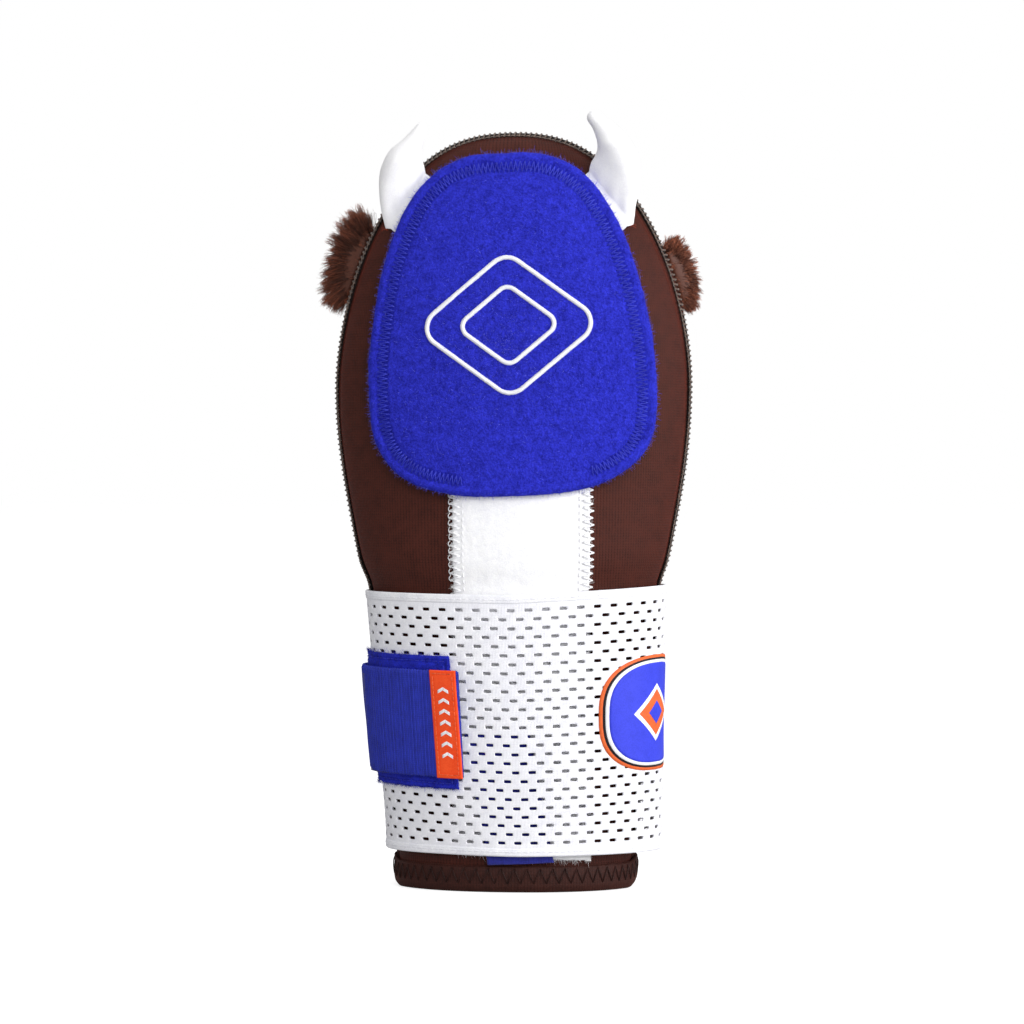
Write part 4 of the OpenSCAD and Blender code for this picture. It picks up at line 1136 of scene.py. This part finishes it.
def makeLoopPatch():
    low, high = closure["loopU"], closure["loopZ"]
    U, Z = np.meshgrid(np.linspace(0, 1, 130), np.linspace(0, 1, 84), indexing="ij")
    u = np.radians(low[0] + (low[1] - low[0] + closure["loopTilt"] * (0.5 - Z)) * U)
    z = high[0] + (high[1] - high[0]) * Z
    flat = np.stack([np.cos(u) * 50, np.sin(u) * 50, z], -1)
    border = np.minimum(np.minimum(U, 1 - U) * 85, np.minimum(Z, 1 - Z) * 50)
    u = u + np.radians(0.35) * noiseAt(flat, 1.2, 5.0) * (border < 0.4)
    pile = 0.2 * noiseAt(flat, 0.9, 2.0) + 0.16 * noiseAt(flat, 3.0, 3.0)
    sewn = 0.5 * np.exp(-((border - 2.0) / 0.7) ** 2)
    roll = 0.7 * np.clip(1 - border / 0.8, 0, 1) ** 2
    piece = makePiece("loopPatch", slabMesh(bandPoint(u, z, closure["loopD"][1] + pile - sewn - roll),
                                            bandPoint(u, z, closure["loopD"][0])),
                      cloths["blueLoop"])
    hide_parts("loop_patch")
    rng = np.random.default_rng(21)
    count = 3800  # loose loops standing in the pile, thicker at the border
    a, b = rng.random(count), rng.random(count)
    atEdge = rng.random(count) < 0.3
    side = rng.integers(0, 3, count)
    a = np.where(atEdge & (side == 0), 1.0, a)
    b = np.where(atEdge & (side == 1), 0.0, np.where(atEdge & (side == 2), 1.0, b))
    u = np.radians(low[0] + (low[1] - low[0] + closure["loopTilt"] * (0.5 - b)) * a)
    z = high[0] + (high[1] - high[0]) * b
    root = bandPoint(u, z, 1.9 + 0.3 * rng.random(count))
    out = unit(bandPoint(u, z, 3.4) - root)
    way = out * 0.5 + rng.normal(size=out.shape) * 0.5
    way[:, 2] += np.where(atEdge & (side > 0), np.sign(b - 0.5) * 0.9, 0)
    way[:, 0] += np.where(atEdge & (side == 0), 0.9, 0)
    way = unit(way)
    curl = rng.normal(size=out.shape) * 0.6 - out * 0.3
    pile = fibreMesh(root, way, 0.6 + 0.5 * rng.random(count), 0.05 + 0 * u, curl)
    fluff = makePiece("loopPatchPile", pile, cloths["blueLoop"])
    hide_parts("loop_patch")
    rows = []
    t = np.linspace(0, 1, 5)[None]
    for z in (high[0] + 2.0, high[1] - 2.0):
        start = np.radians(np.arange(low[0] + 2, low[1] - 2, 2.9))[:, None]
        rows.append(bandPoint(start + np.radians(2.1) * t, z, 2.0 + 0.22 * np.sin(np.pi * t)))
    for at in (low[0] + 2.4, low[1] - 2.4):
        start = np.arange(high[0] + 2, high[1] - 3, 2.5)[:, None]
        lean = closure["loopTilt"] * (0.5 - (start + 2 * t - high[0]) / 50) * (at > -60)
        rows.append(bandPoint(np.radians(at + lean), start + 1.9 * t, 2.0 + 0.22 * np.sin(np.pi * t)))
    stitches = makePiece("loopPatchStitches", joined([threadMesh(r, 0.17, 5) for r in rows]),
                         cloths["feltThread"])
    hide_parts("loop_patch_stitching")


def rootDrop(u):
    return closure["rootDrop"] * easeIn((-u - 103) / 27)


def makeStrap():
    low, high = closure["strapU"], closure["strapZ"]
    u = np.linspace(low[0], low[1], 560)
    z = np.linspace(0, 1, 40)
    U, Z = np.meshgrid(u, z, indexing="ij")
    ring = bandPoint(np.radians(u), 62.5, 4.9)
    along = np.concatenate([[0], np.cumsum(np.linalg.norm(np.diff(ring, axis=0), axis=1))])
    S = np.broadcast_to(along[:, None], U.shape)
    ribs = closure["ribHigh"] * np.abs(np.sin(np.pi * S / closure["rib"])) - closure["ribHigh"] / 2
    edge = np.minimum(Z, 1 - Z) * (high[1] - high[0])
    roll = 0.5 * np.clip(1 - edge / 0.9, 0, 1) ** 2
    wavy = 0.22 * np.sin(2 * np.pi * S / closure["rib"]) * np.clip(1 - edge / 0.3, 0, 1) * np.sign(Z - 0.5)
    z = high[0] + (high[1] - high[0]) * Z + wavy
    bow = 0.7 * noiseAt(np.stack([S, 0 * S, z], -1), 14.0, 4.0)
    drop = rootDrop(U)
    top = bandPoint(np.radians(U), z, closure["strapD"][1] - drop + ribs - roll + bow * 0.5)
    inner = bandPoint(np.radians(U), z, closure["strapD"][0] - drop + roll * 0.5 + bow * 0.3)
    strap = makePiece("closingStrap", slabMesh(top, inner), cloths["blueElastic"], body=None,
                      cloth=bothFaces(np.stack([S, z], -1)))
    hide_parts("strap_fixed_run", "strap_flap")
    at = bandPoint(np.radians([closure["hinge"] - 5, closure["hinge"] + 5]), 62.5, 4.2) * mm
    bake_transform(strap)
    rows = []
    t = np.linspace(0, 1, 5)[None]
    for z in (high[0] + 2.5, high[1] - 2.5):
        start = np.arange(-148, -137, 2.0)[:, None]
        rows.append(bandPoint(np.radians(start + 1.5 * t), z, 2.5 + 0.2 * np.sin(np.pi * t)))
    for at in (-148, -137):
        start = np.arange(high[0] + 2.5, high[1] - 4, 2.3)[:, None]
        rows.append(bandPoint(np.radians(at + 0 * t), start + 1.8 * t, 2.5 + 0.2 * np.sin(np.pi * t)))
    anchor = makePiece("strapAnchor", joined([threadMesh(r, 0.2, 5) for r in rows]), cloths["feltThread"])
    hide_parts("strap_anchor_stitching")


# The label sewn over the strap's end: plain weave, a sewn border and a column of small chevrons.
label = {"u": (-32.1, -21.0), "wide": 10.2, "tall": 40.6, "tilt": 0.9, "d": (5.0, 5.6), "border": 1.3,
         "thread": 0.16, "chevrons": 7}


def labelPoint(a, b, d):  # a across from 0 to 1, b up from 0 to 1
    low, high = closure["strapZ"]
    u = label["u"][0] + (label["u"][1] - label["u"][0]) * a + label["tilt"] * (0.5 - b)
    return bandPoint(np.radians(u), low - 0.3 + (high - low + 0.6) * b, d)


def makeLabel():
    A, B = np.meshgrid(np.linspace(0, 1, 30), np.linspace(0, 1, 96), indexing="ij")
    border = np.minimum(np.minimum(A, 1 - A) * label["wide"], np.minimum(B, 1 - B) * label["tall"])
    roll = 0.35 * np.clip(1 - border / 0.6, 0, 1) ** 2
    sewn = 0.14 * np.exp(-((border - label["border"]) / 0.5) ** 2)
    swell = 0.12 * noiseAt(np.stack([A * 10, 0 * A, B * 40], -1), 7.0, 1.0)
    top = labelPoint(A, B, label["d"][1] - roll - sewn + swell)
    inner = labelPoint(A, B, label["d"][0] - 0.1)
    cloth = bothFaces(np.stack([A * label["wide"], B * label["tall"]], -1))
    piece = makePiece("strapLabel", slabMesh(top, inner), cloths["labelWeave"], body="strap_end",
                      cloth=cloth)
    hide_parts("strap_label")
    rows = []
    t = np.linspace(0, 1, 5)[None]
    a, b = label["border"] / label["wide"], label["border"] / label["tall"]
    high = label["d"][1]
    arch = high - 0.02 + 0.2 * np.sin(np.pi * t)
    for x in (a, 1 - a):
        start = np.arange(b, 1 - b - 0.02, 0.046)[:, None]
        rows.append(labelPoint(x + 0 * start * t, start + 0.036 * t, arch + 0 * start))
    for y in (b, 1 - b):
        start = np.arange(a, 1 - a - 0.1, 0.19)[:, None]
        rows.append(labelPoint(start + 0.15 * t, y + 0 * start * t, arch + 0 * start))
    border = makePiece("labelBorder", joined([threadMesh(r, label["thread"], 5) for r in rows]),
                       cloths["labelThread"], body="strap_end")
    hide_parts("label_stitching")
    marks = []
    for k in range(label["chevrons"]):
        y = 0.2 + 0.6 * k / (label["chevrons"] - 1)
        for row in np.linspace(-0.012, 0.012, 5):
            for sign in (-1, 1):
                s = np.linspace(0, 1, 5)
                marks.append(labelPoint(0.5 + sign * 0.2 * s, y + row + 0.03 * (1 - s), high + 0.04 + 0 * s))
    chevrons = makePiece("labelChevrons", threadMesh(np.array(marks), 0.13, 5), cloths["satinThread"],
                         body="strap_end")
    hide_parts("label_stitching")


makeLoopPatch()
makeStrap()
makeLabel()
print("closure made")

# The horns: stuffed covers of two cloths, pinched along their seams and tucked under the felt.
# Each row from root to tip gives the inner and the outer edge, across and up from the patch's middle.
horn = {
    "rows": {
        -1: [[30.2, 81.4, 46.2, 61.4], [30.4, 83.0, 46.9, 64.6], [30.7, 84.8, 47.5, 68.2],
             [31.2, 86.6, 47.9, 73.4], [31.2, 88.8, 47.7, 80.0], [30.9, 91.0, 46.4, 85.0],
             [30.1, 93.4, 43.2, 90.5], [29.4, 95.8, 38.7, 94.0], [29.1, 97.8, 35.4, 97.0],
             [29.3, 99.4, 33.0, 99.3], [30.1, 100.5, 31.5, 100.6]],
        1: [[31.6, 79.4, 47.4, 58.6], [31.9, 81.0, 48.0, 61.6], [32.6, 82.8, 48.6, 65.4],
            [33.8, 84.6, 49.8, 70.4], [35.0, 87.0, 50.6, 77.6], [35.2, 89.8, 50.0, 84.8],
            [34.6, 92.6, 47.4, 90.6], [33.5, 95.6, 43.4, 95.2], [31.8, 98.5, 37.8, 99.9],
            [31.9, 100.4, 36.4, 101.4], [32.9, 101.6, 34.9, 102.1]],
    },
    "thick": [1.7, 2.2, 2.8, 3.7, 5.2, 5.6, 4.9, 4.0, 3.0, 2.2, 0.7],  # half thickness of each row
    "lean": [0, -0.4, -0.9, -1.5, -2.1, -2.8, -2.8, -2.7, -2.6, -2.6, -2.6],
    "off": 3.4, "cloth": 0.6, "tuck": (4.6, 4.4), "tuckDepth": 1.7, "pucker": 0.16, "puckerPitch": 2.4,
}


def patchXZ(px, pz):
    c, s = math.cos(patch["tilt"]), math.sin(patch["tilt"])
    return np.stack([patch["x"] + px * c - pz * s, patch["z"] + px * s + pz * c], -1)


def hornRings(side, shrink):
    rows = np.array(horn["rows"][side])
    foot = np.array([patchPoint(side * rows[0][0], rows[0][1], horn["off"]),
                     patchPoint(side * rows[0][2], rows[0][3], horn["off"])])
    at = np.concatenate([np.linspace(0, 8, 46), 8 + 2 * np.sin(np.linspace(0.08, 1, 10) * np.pi / 2)])
    smooth = []
    for column in list(rows.T) + [np.array(horn["thick"]), np.array(horn["lean"])]:
        slope = np.gradient(column)
        k = np.minimum(at.astype(int), len(rows) - 2)
        t = at - k
        h = [2 * t ** 3 - 3 * t ** 2 + 1, t ** 3 - 2 * t ** 2 + t, -2 * t ** 3 + 3 * t ** 2, t ** 3 - t ** 2]
        smooth.append(h[0] * column[k] + h[1] * slope[k] + h[2] * column[k + 1] + h[3] * slope[k + 1])
    inX, inZ, outX, outZ, thick, lean = smooth
    inner, outer = patchXZ(side * inX, inZ), patchXZ(side * outX, outZ)
    midY = foot[:, 1].mean() + lean
    angle = side * np.linspace(0, 2 * np.pi, 64, endpoint=False)
    wide = (outer - inner) / 2
    reach = np.linalg.norm(wide, axis=1)
    keep = np.maximum(1 - shrink / reach, 0.1)[:, None]
    across = signedPower(np.cos(angle), 0.94)
    flat = (inner + outer)[:, None] / 2 + (wide * keep)[:, None] * across[None, :, None]
    bulge = signedPower(np.sin(angle), 1.04)
    y = midY[:, None] + np.maximum(thick - shrink, 0.1)[:, None] * bulge[None]
    rings = np.stack([flat[..., 0], y, flat[..., 1]], -1)
    length = np.concatenate([[0], np.cumsum(np.linalg.norm(np.diff(outer, axis=0), axis=1))])
    nearSeam = np.exp(-(np.sin(angle) / 0.3) ** 2)[None]
    pucker = horn["pucker"] * np.sin(2 * np.pi * length / horn["puckerPitch"])[:, None] * nearSeam
    gather = 0.2 * np.sin(across * 11 + side)[None] * np.exp(-(length / 6.5) ** 2)[:, None]
    dent = 0.3 * noiseAt(rings, 9.0, 4.0 + side)
    rings[..., 1] += np.sign(bulge)[None] * (pucker + gather + dent)
    tucks = []  # the seam allowance that runs in under the felt
    for share in (1.0, 0.5):
        inward = np.array(horn["tuck"]) * share
        a = patchXZ(side * (rows[0][0] - inward[0]), rows[0][1] - inward[1])
        b = patchXZ(side * (rows[0][2] - inward[0] - 0.8), rows[0][3] - inward[1] + 1.2)
        line = (a + b) / 2 + (b - a) / 2 * across[:, None]
        depth = horn["tuckDepth"] + (1 - share) * 0.8
        lift = depth + (0.35 + (1 - share) * 0.7 - min(shrink, 0.3)) * -bulge
        tucks.append(atX(line[:, 0], line[:, 1], lift))
    return np.concatenate([np.array(tucks), rings]), foot


def makeHorn(side, body, node):
    outer, foot = hornRings(side, 0)
    inner, _ = hornRings(side, horn["cloth"])
    points, faces = slabMesh(outer.transpose(1, 0, 2), inner.transpose(1, 0, 2), wrap=True)
    faces = capEnd(faces, outer.shape[1], len(outer))
    name = "hornLeft" if side < 0 else "hornRight"
    cover = makePiece(name, (points, faces), cloths["hornPlush"], body=None)
    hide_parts(node)
    line = unit(foot[1] - foot[0])
    out = np.cross(line, [0, 1, 0]) * side
    out = out * np.sign(out[0] * side) / np.linalg.norm(out)
    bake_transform(cover)
    stuffing = makePiece(name + "Stuffing", closedTube(hornRings(side, 1.5)[0][12:]),
                         cloths["stuffingFibre"], body=body)
    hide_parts(body + "_stuffing")
    tack = []
    at = foot[1] + np.array([-side * 3.0, -1.6, -2.0])
    for k in range(2):
        t = np.linspace(0, 1, 6)[:, None]
        run, bow = np.array([side * 2.6, -0.5 + 0.4 * k, 1.1 * (k - 0.3)]), np.array([0, -0.5, 0.5])
        tack.append(at + run * t + bow * np.sin(np.pi * t))
    tackThread = makePiece(name + "Tack", threadMesh(np.array(tack), 0.13, 5), cloths["tackThread"])
    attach(tackThread, "mitt")


makeHorn(-1, "horn_left", "horn_left_cover")
makeHorn(1, "horn_right", "horn_right_cover")
print("horns made")


# The fur ears: a thick pile on a cloth, fanning out from behind the side seams.
ear = {
    "z": {-1: 236.0, 1: 231.0}, "backU": math.radians(8), "off": 2.0, "sink": 0.8,
    "reach": {-1: 0.85, 1: 0.6}, "half": {-1: 13.0, 1: 10.5}, "length": {-1: (7.0, 11.5), 1: (4.2, 7.0)},
    "hairs": 7400, "rootHairs": 2200, "fan": 0.95, "clumps": 190, "thread": 0.08,
}


def newFur(name, dark, light):
    material = bpy.data.materials.new(name)
    material.use_nodes = True
    tree = material.node_tree
    shader = tree.nodes["Principled BSDF"]
    shader.inputs["Roughness"].default_value = 0.5
    shader.inputs["Specular IOR Level"].default_value = 0.35
    hair = tree.nodes.new("ShaderNodeAttribute")
    hair.attribute_name = "clothAt"
    split = tree.nodes.new("ShaderNodeSeparateXYZ")
    tree.links.new(hair.outputs["Vector"], split.inputs[0])
    # Each hair runs from a dark root to a light tip, scaled by its own random tint. This is partly the fur's
    # own tipped colour, partly painted shade deep in the pile and a painted highlight on the tips.
    tip = mathNode(tree, "POWER", split.outputs["X"], 1.1)
    mix = tree.nodes.new("ShaderNodeMix")
    mix.data_type = "RGBA"
    tree.links.new(mathNode(tree, "MULTIPLY", tip, split.outputs["Y"]), mix.inputs[0])
    mix.inputs[6].default_value = srgb(*dark)
    mix.inputs[7].default_value = srgb(*light)
    tree.links.new(mix.outputs[2], shader.inputs["Base Color"])
    return material


furFinish = newFur("furPile", (32, 14, 11), (226, 130, 92))


def earFrame(side):
    u, z = side * (np.pi / 2 + ear["backU"]), ear["z"][side]
    root = skinPoint(u, z, ear["off"])
    along = unit(skinPoint(u, z + 12, ear["off"]) - skinPoint(u, z - 12, ear["off"]))
    out = np.array([side * 0.95, 0.3, 0])
    out = unit(out - along * (out @ along))
    return root - out * ear["sink"], along, out, np.cross(out, along) * side


def makeHairs(name, body, node, start, way, length, rng, pull):
    count = len(start)
    tips = start + way * length[:, None]
    clump = tips[rng.choice(count, max(20, int(ear["clumps"] * count / ear["hairs"])), replace=False)]
    nearest = np.argmin(((tips[:, None] - clump[None]) ** 2).sum(-1), axis=1)
    tips = tips + (clump[nearest] - tips) * (pull + 0.5 * rng.random(count)[:, None])
    tips[:, 2] -= 0.04 * length ** 1.4
    t = np.linspace(0, 1, 4)[None, :, None]
    paths = start[:, None] + (way * length[:, None])[:, None] * t * (1 - t) * 0.9
    paths = paths + (tips - start)[:, None] * t ** 1.15
    paths = paths + rng.normal(size=(count, 1, 3)) * 0.25 * np.sin(np.pi * t)
    thick = ear["thread"] * np.array([1, 0.95, 0.7, 0.25])[None] * (0.8 + 0.5 * rng.random((count, 1)))
    tint = (0.15 + 0.85 * rng.random(count) ** 1.5) * (0.8 + 0.5 * noiseAt(start, 3.0, 9.0))
    share = np.tile(np.linspace(0, 1, 4)[None, :, None], (count, 1, 3))
    flat = np.stack([share, np.broadcast_to(tint[:, None, None], share.shape)], -1)
    hairs = makePiece(name, threadMesh(paths, thick, 3), furFinish, body=body, cloth=flat,
                      outward=False)
    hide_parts(node)


def makeEar(side, body, node):
    root, along, out, across = earFrame(side)
    reach, half = ear["reach"][side], ear["half"][side]
    rng = np.random.default_rng(31 + side)
    ring = np.linspace(0, 2 * np.pi, 48, endpoint=False)
    rings = []
    for o, tall, thick in ((0.4, 0.92, 0.7), (2.5, 0.97, 1.1), (5, 0.95, 1.3), (8, 0.86, 1.2),
                           (10, 0.66, 0.9), (11, 0.38, 0.5)):
        middle = root + (out * o - np.array([0, 0, 0.2 * o])) * reach
        upward, thickness = along * half * tall, across * thick
        rings.append(middle + upward * np.cos(ring)[:, None] + thickness * np.sin(ring)[:, None])
    skin = np.array(rings)
    skin = skin + 0.3 * noiseAt(skin, 2.2, 5.0)[..., None] * out
    name = "earLeft" if side < 0 else "earRight"
    # The pile's cloth takes the hairs' dark root colour, so it carries the same painted shade under the
    # hairs.
    tone = np.tile([0.25, 0.5], (len(ring) * len(rings), 1))
    pile = makePiece(name + "Pile", closedTube(skin), furFinish, body=body, cloth=tone)
    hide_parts(node)

    for part, count in (("Hair", ear["hairs"]), ("RootHair", ear["rootHairs"])):
        fixed = part == "RootHair"  # the short pile behind the seam stays with the body
        a = rng.random(count) * 2 - 1
        c = rng.random(count) if fixed else rng.random(count) ** 1.25
        b = np.sign(rng.random(count) - 0.5) * rng.random(count) ** 0.5
        room = np.sqrt(1 - 0.6 * a ** 2)
        depth = 0.9 - 4.0 * c if fixed else c * 8.5 * reach * room
        start = root + (a * half)[:, None] * along + depth[:, None] * out
        start = start + (b * (0.9 if fixed else 0.8 + 0.9 * c) * room - 0.8)[:, None] * across
        turn = a * ear["fan"] + 0.14 * rng.normal(size=count) - 0.12
        way = np.cos(turn)[:, None] * out + np.sin(turn)[:, None] * along
        way = unit(way + (b * 0.35 - 0.15)[:, None] * across + rng.normal(size=(count, 3)) * 0.13)
        short, long = (3.6, 5.4) if fixed else ear["length"][side]
        length = (short + (long - short) * rng.random(count)) * (1 + 0.12 * a)
        makeHairs(name + part, "mitt" if fixed else body, node, start, way, length, rng, 0.2)

    ring = np.linspace(0, 2 * np.pi, 60, endpoint=False)
    share = np.linspace(1, 0.03, 14)
    a = half * 0.85 * np.cos(ring)[:, None] * share
    o = (4.6 + 4.0 * np.sin(ring)[:, None] * share) * reach
    leaf = root + a[..., None] * along + o[..., None] * out
    leaf = leaf - (1.3 + 0.15 * noiseAt(leaf, 5.0, 2.0))[..., None] * across
    points, faces = slabMesh(leaf, leaf - 0.7 * across, wrap=True)
    faces = capEnd(faces, len(ring), len(share))
    backing = makePiece(name + "Backing", (points, faces), cloths["earBacking"], body=body)
    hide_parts(body + "_backing")


makeEar(-1, "ear_left", "ear_left_fur")
makeEar(1, "ear_right", "ear_right_fur")
print("ears made")

# The floor, the lights and the camera.
studio = {"floor": 6.0, "height": 0.142, "distance": 1.5, "azimuth": 4.0, "elevation": 1.5, "wide": 0.389,
          "paleness": 0.78, "air": 0.42, "aimX": -0.0015}


def makeStudio():
    mesh = bpy.data.meshes.new("floor")
    half = studio["floor"]
    corners = [(-half, -half, 0), (half, -half, 0), (half, half, 0), (-half, half, 0)]
    mesh.from_pydata(corners, [], [(0, 1, 2, 3)])
    floor = bpy.data.objects.new("floor", mesh)
    bpy.context.scene.collection.objects.link(floor)
    pale = bpy.data.materials.new("paleFloor")
    pale.use_nodes = True
    shader = pale.node_tree.nodes["Principled BSDF"]
    shader.inputs["Base Color"].default_value = (0.5, 0.5, 0.5, 1)
    shader.inputs["Roughness"].default_value = 0.9
    shader.inputs["Specular IOR Level"].default_value = 0.1
    shader.inputs["Emission Color"].default_value = (1, 1, 1, 1)
    seen = pale.node_tree.nodes.new("ShaderNodeLightPath")
    glow = mathNode(pale.node_tree, "MULTIPLY", seen.outputs["Is Camera Ray"], studio["paleness"])
    pale.node_tree.links.new(glow, shader.inputs["Emission Strength"])
    mesh.materials.append(pale)
    world = bpy.data.worlds.new("studioAir")
    world.use_nodes = True
    nodes, links = world.node_tree.nodes, world.node_tree.links
    nodes["Background"].inputs["Color"].default_value = (1, 1, 1, 1)
    nodes["Background"].inputs["Strength"].default_value = studio["air"]
    bright = nodes.new("ShaderNodeBackground")
    bright.inputs["Color"].default_value = (1, 1, 1, 1)
    seen = nodes.new("ShaderNodeLightPath")
    blend = nodes.new("ShaderNodeMixShader")
    links.new(seen.outputs["Is Camera Ray"], blend.inputs[0])
    links.new(nodes["Background"].outputs[0], blend.inputs[1])
    links.new(bright.outputs[0], blend.inputs[2])
    links.new(blend.outputs[0], nodes["World Output"].inputs["Surface"])
    bpy.context.scene.world = world
    target = Vector((0, 0, studio["height"]))
    for name, place, size, power in (
            ("frontSoftbox", (0.7, -1.65, 0.9), (1.2, 1.0), 17),
            ("rightSoftbox", (1.2, -0.55, 0.45), (0.5, 1.2), 14),
            ("leftSoftbox", (-1.5, -0.9, 0.5), (0.8, 1.2), 1.5),
            ("topSoftbox", (0.0, 0.3, 1.9), (1.6, 1.6), 12)):
        data = bpy.data.lights.new(name, "AREA")
        data.shape = "RECTANGLE"
        data.size, data.size_y = size
        data.energy = power
        lamp = bpy.data.objects.new(name, data)
        lamp.location = place
        lamp.rotation_euler = (target - Vector(place)).to_track_quat("-Z", "Y").to_euler()
        bpy.context.scene.collection.objects.link(lamp)
    azimuth, elevation = math.radians(studio["azimuth"]), math.radians(studio["elevation"])
    way = Vector((math.sin(azimuth) * math.cos(elevation), -math.cos(azimuth) * math.cos(elevation),
                  math.sin(elevation)))
    data = bpy.data.cameras.new("studioCamera")
    data.lens = data.sensor_width * studio["distance"] / studio["wide"]
    eye = bpy.data.objects.new("studioCamera", data)
    aim = target + Vector((studio["aimX"], 0, 0))
    eye.location = aim + way * studio["distance"]
    eye.rotation_euler = (-way).to_track_quat("-Z", "Y").to_euler()
    bpy.context.scene.collection.objects.link(eye)
    bpy.context.scene.camera = eye
    bpy.context.scene.view_settings.view_transform = "Standard"


makeStudio()
print("studio made")
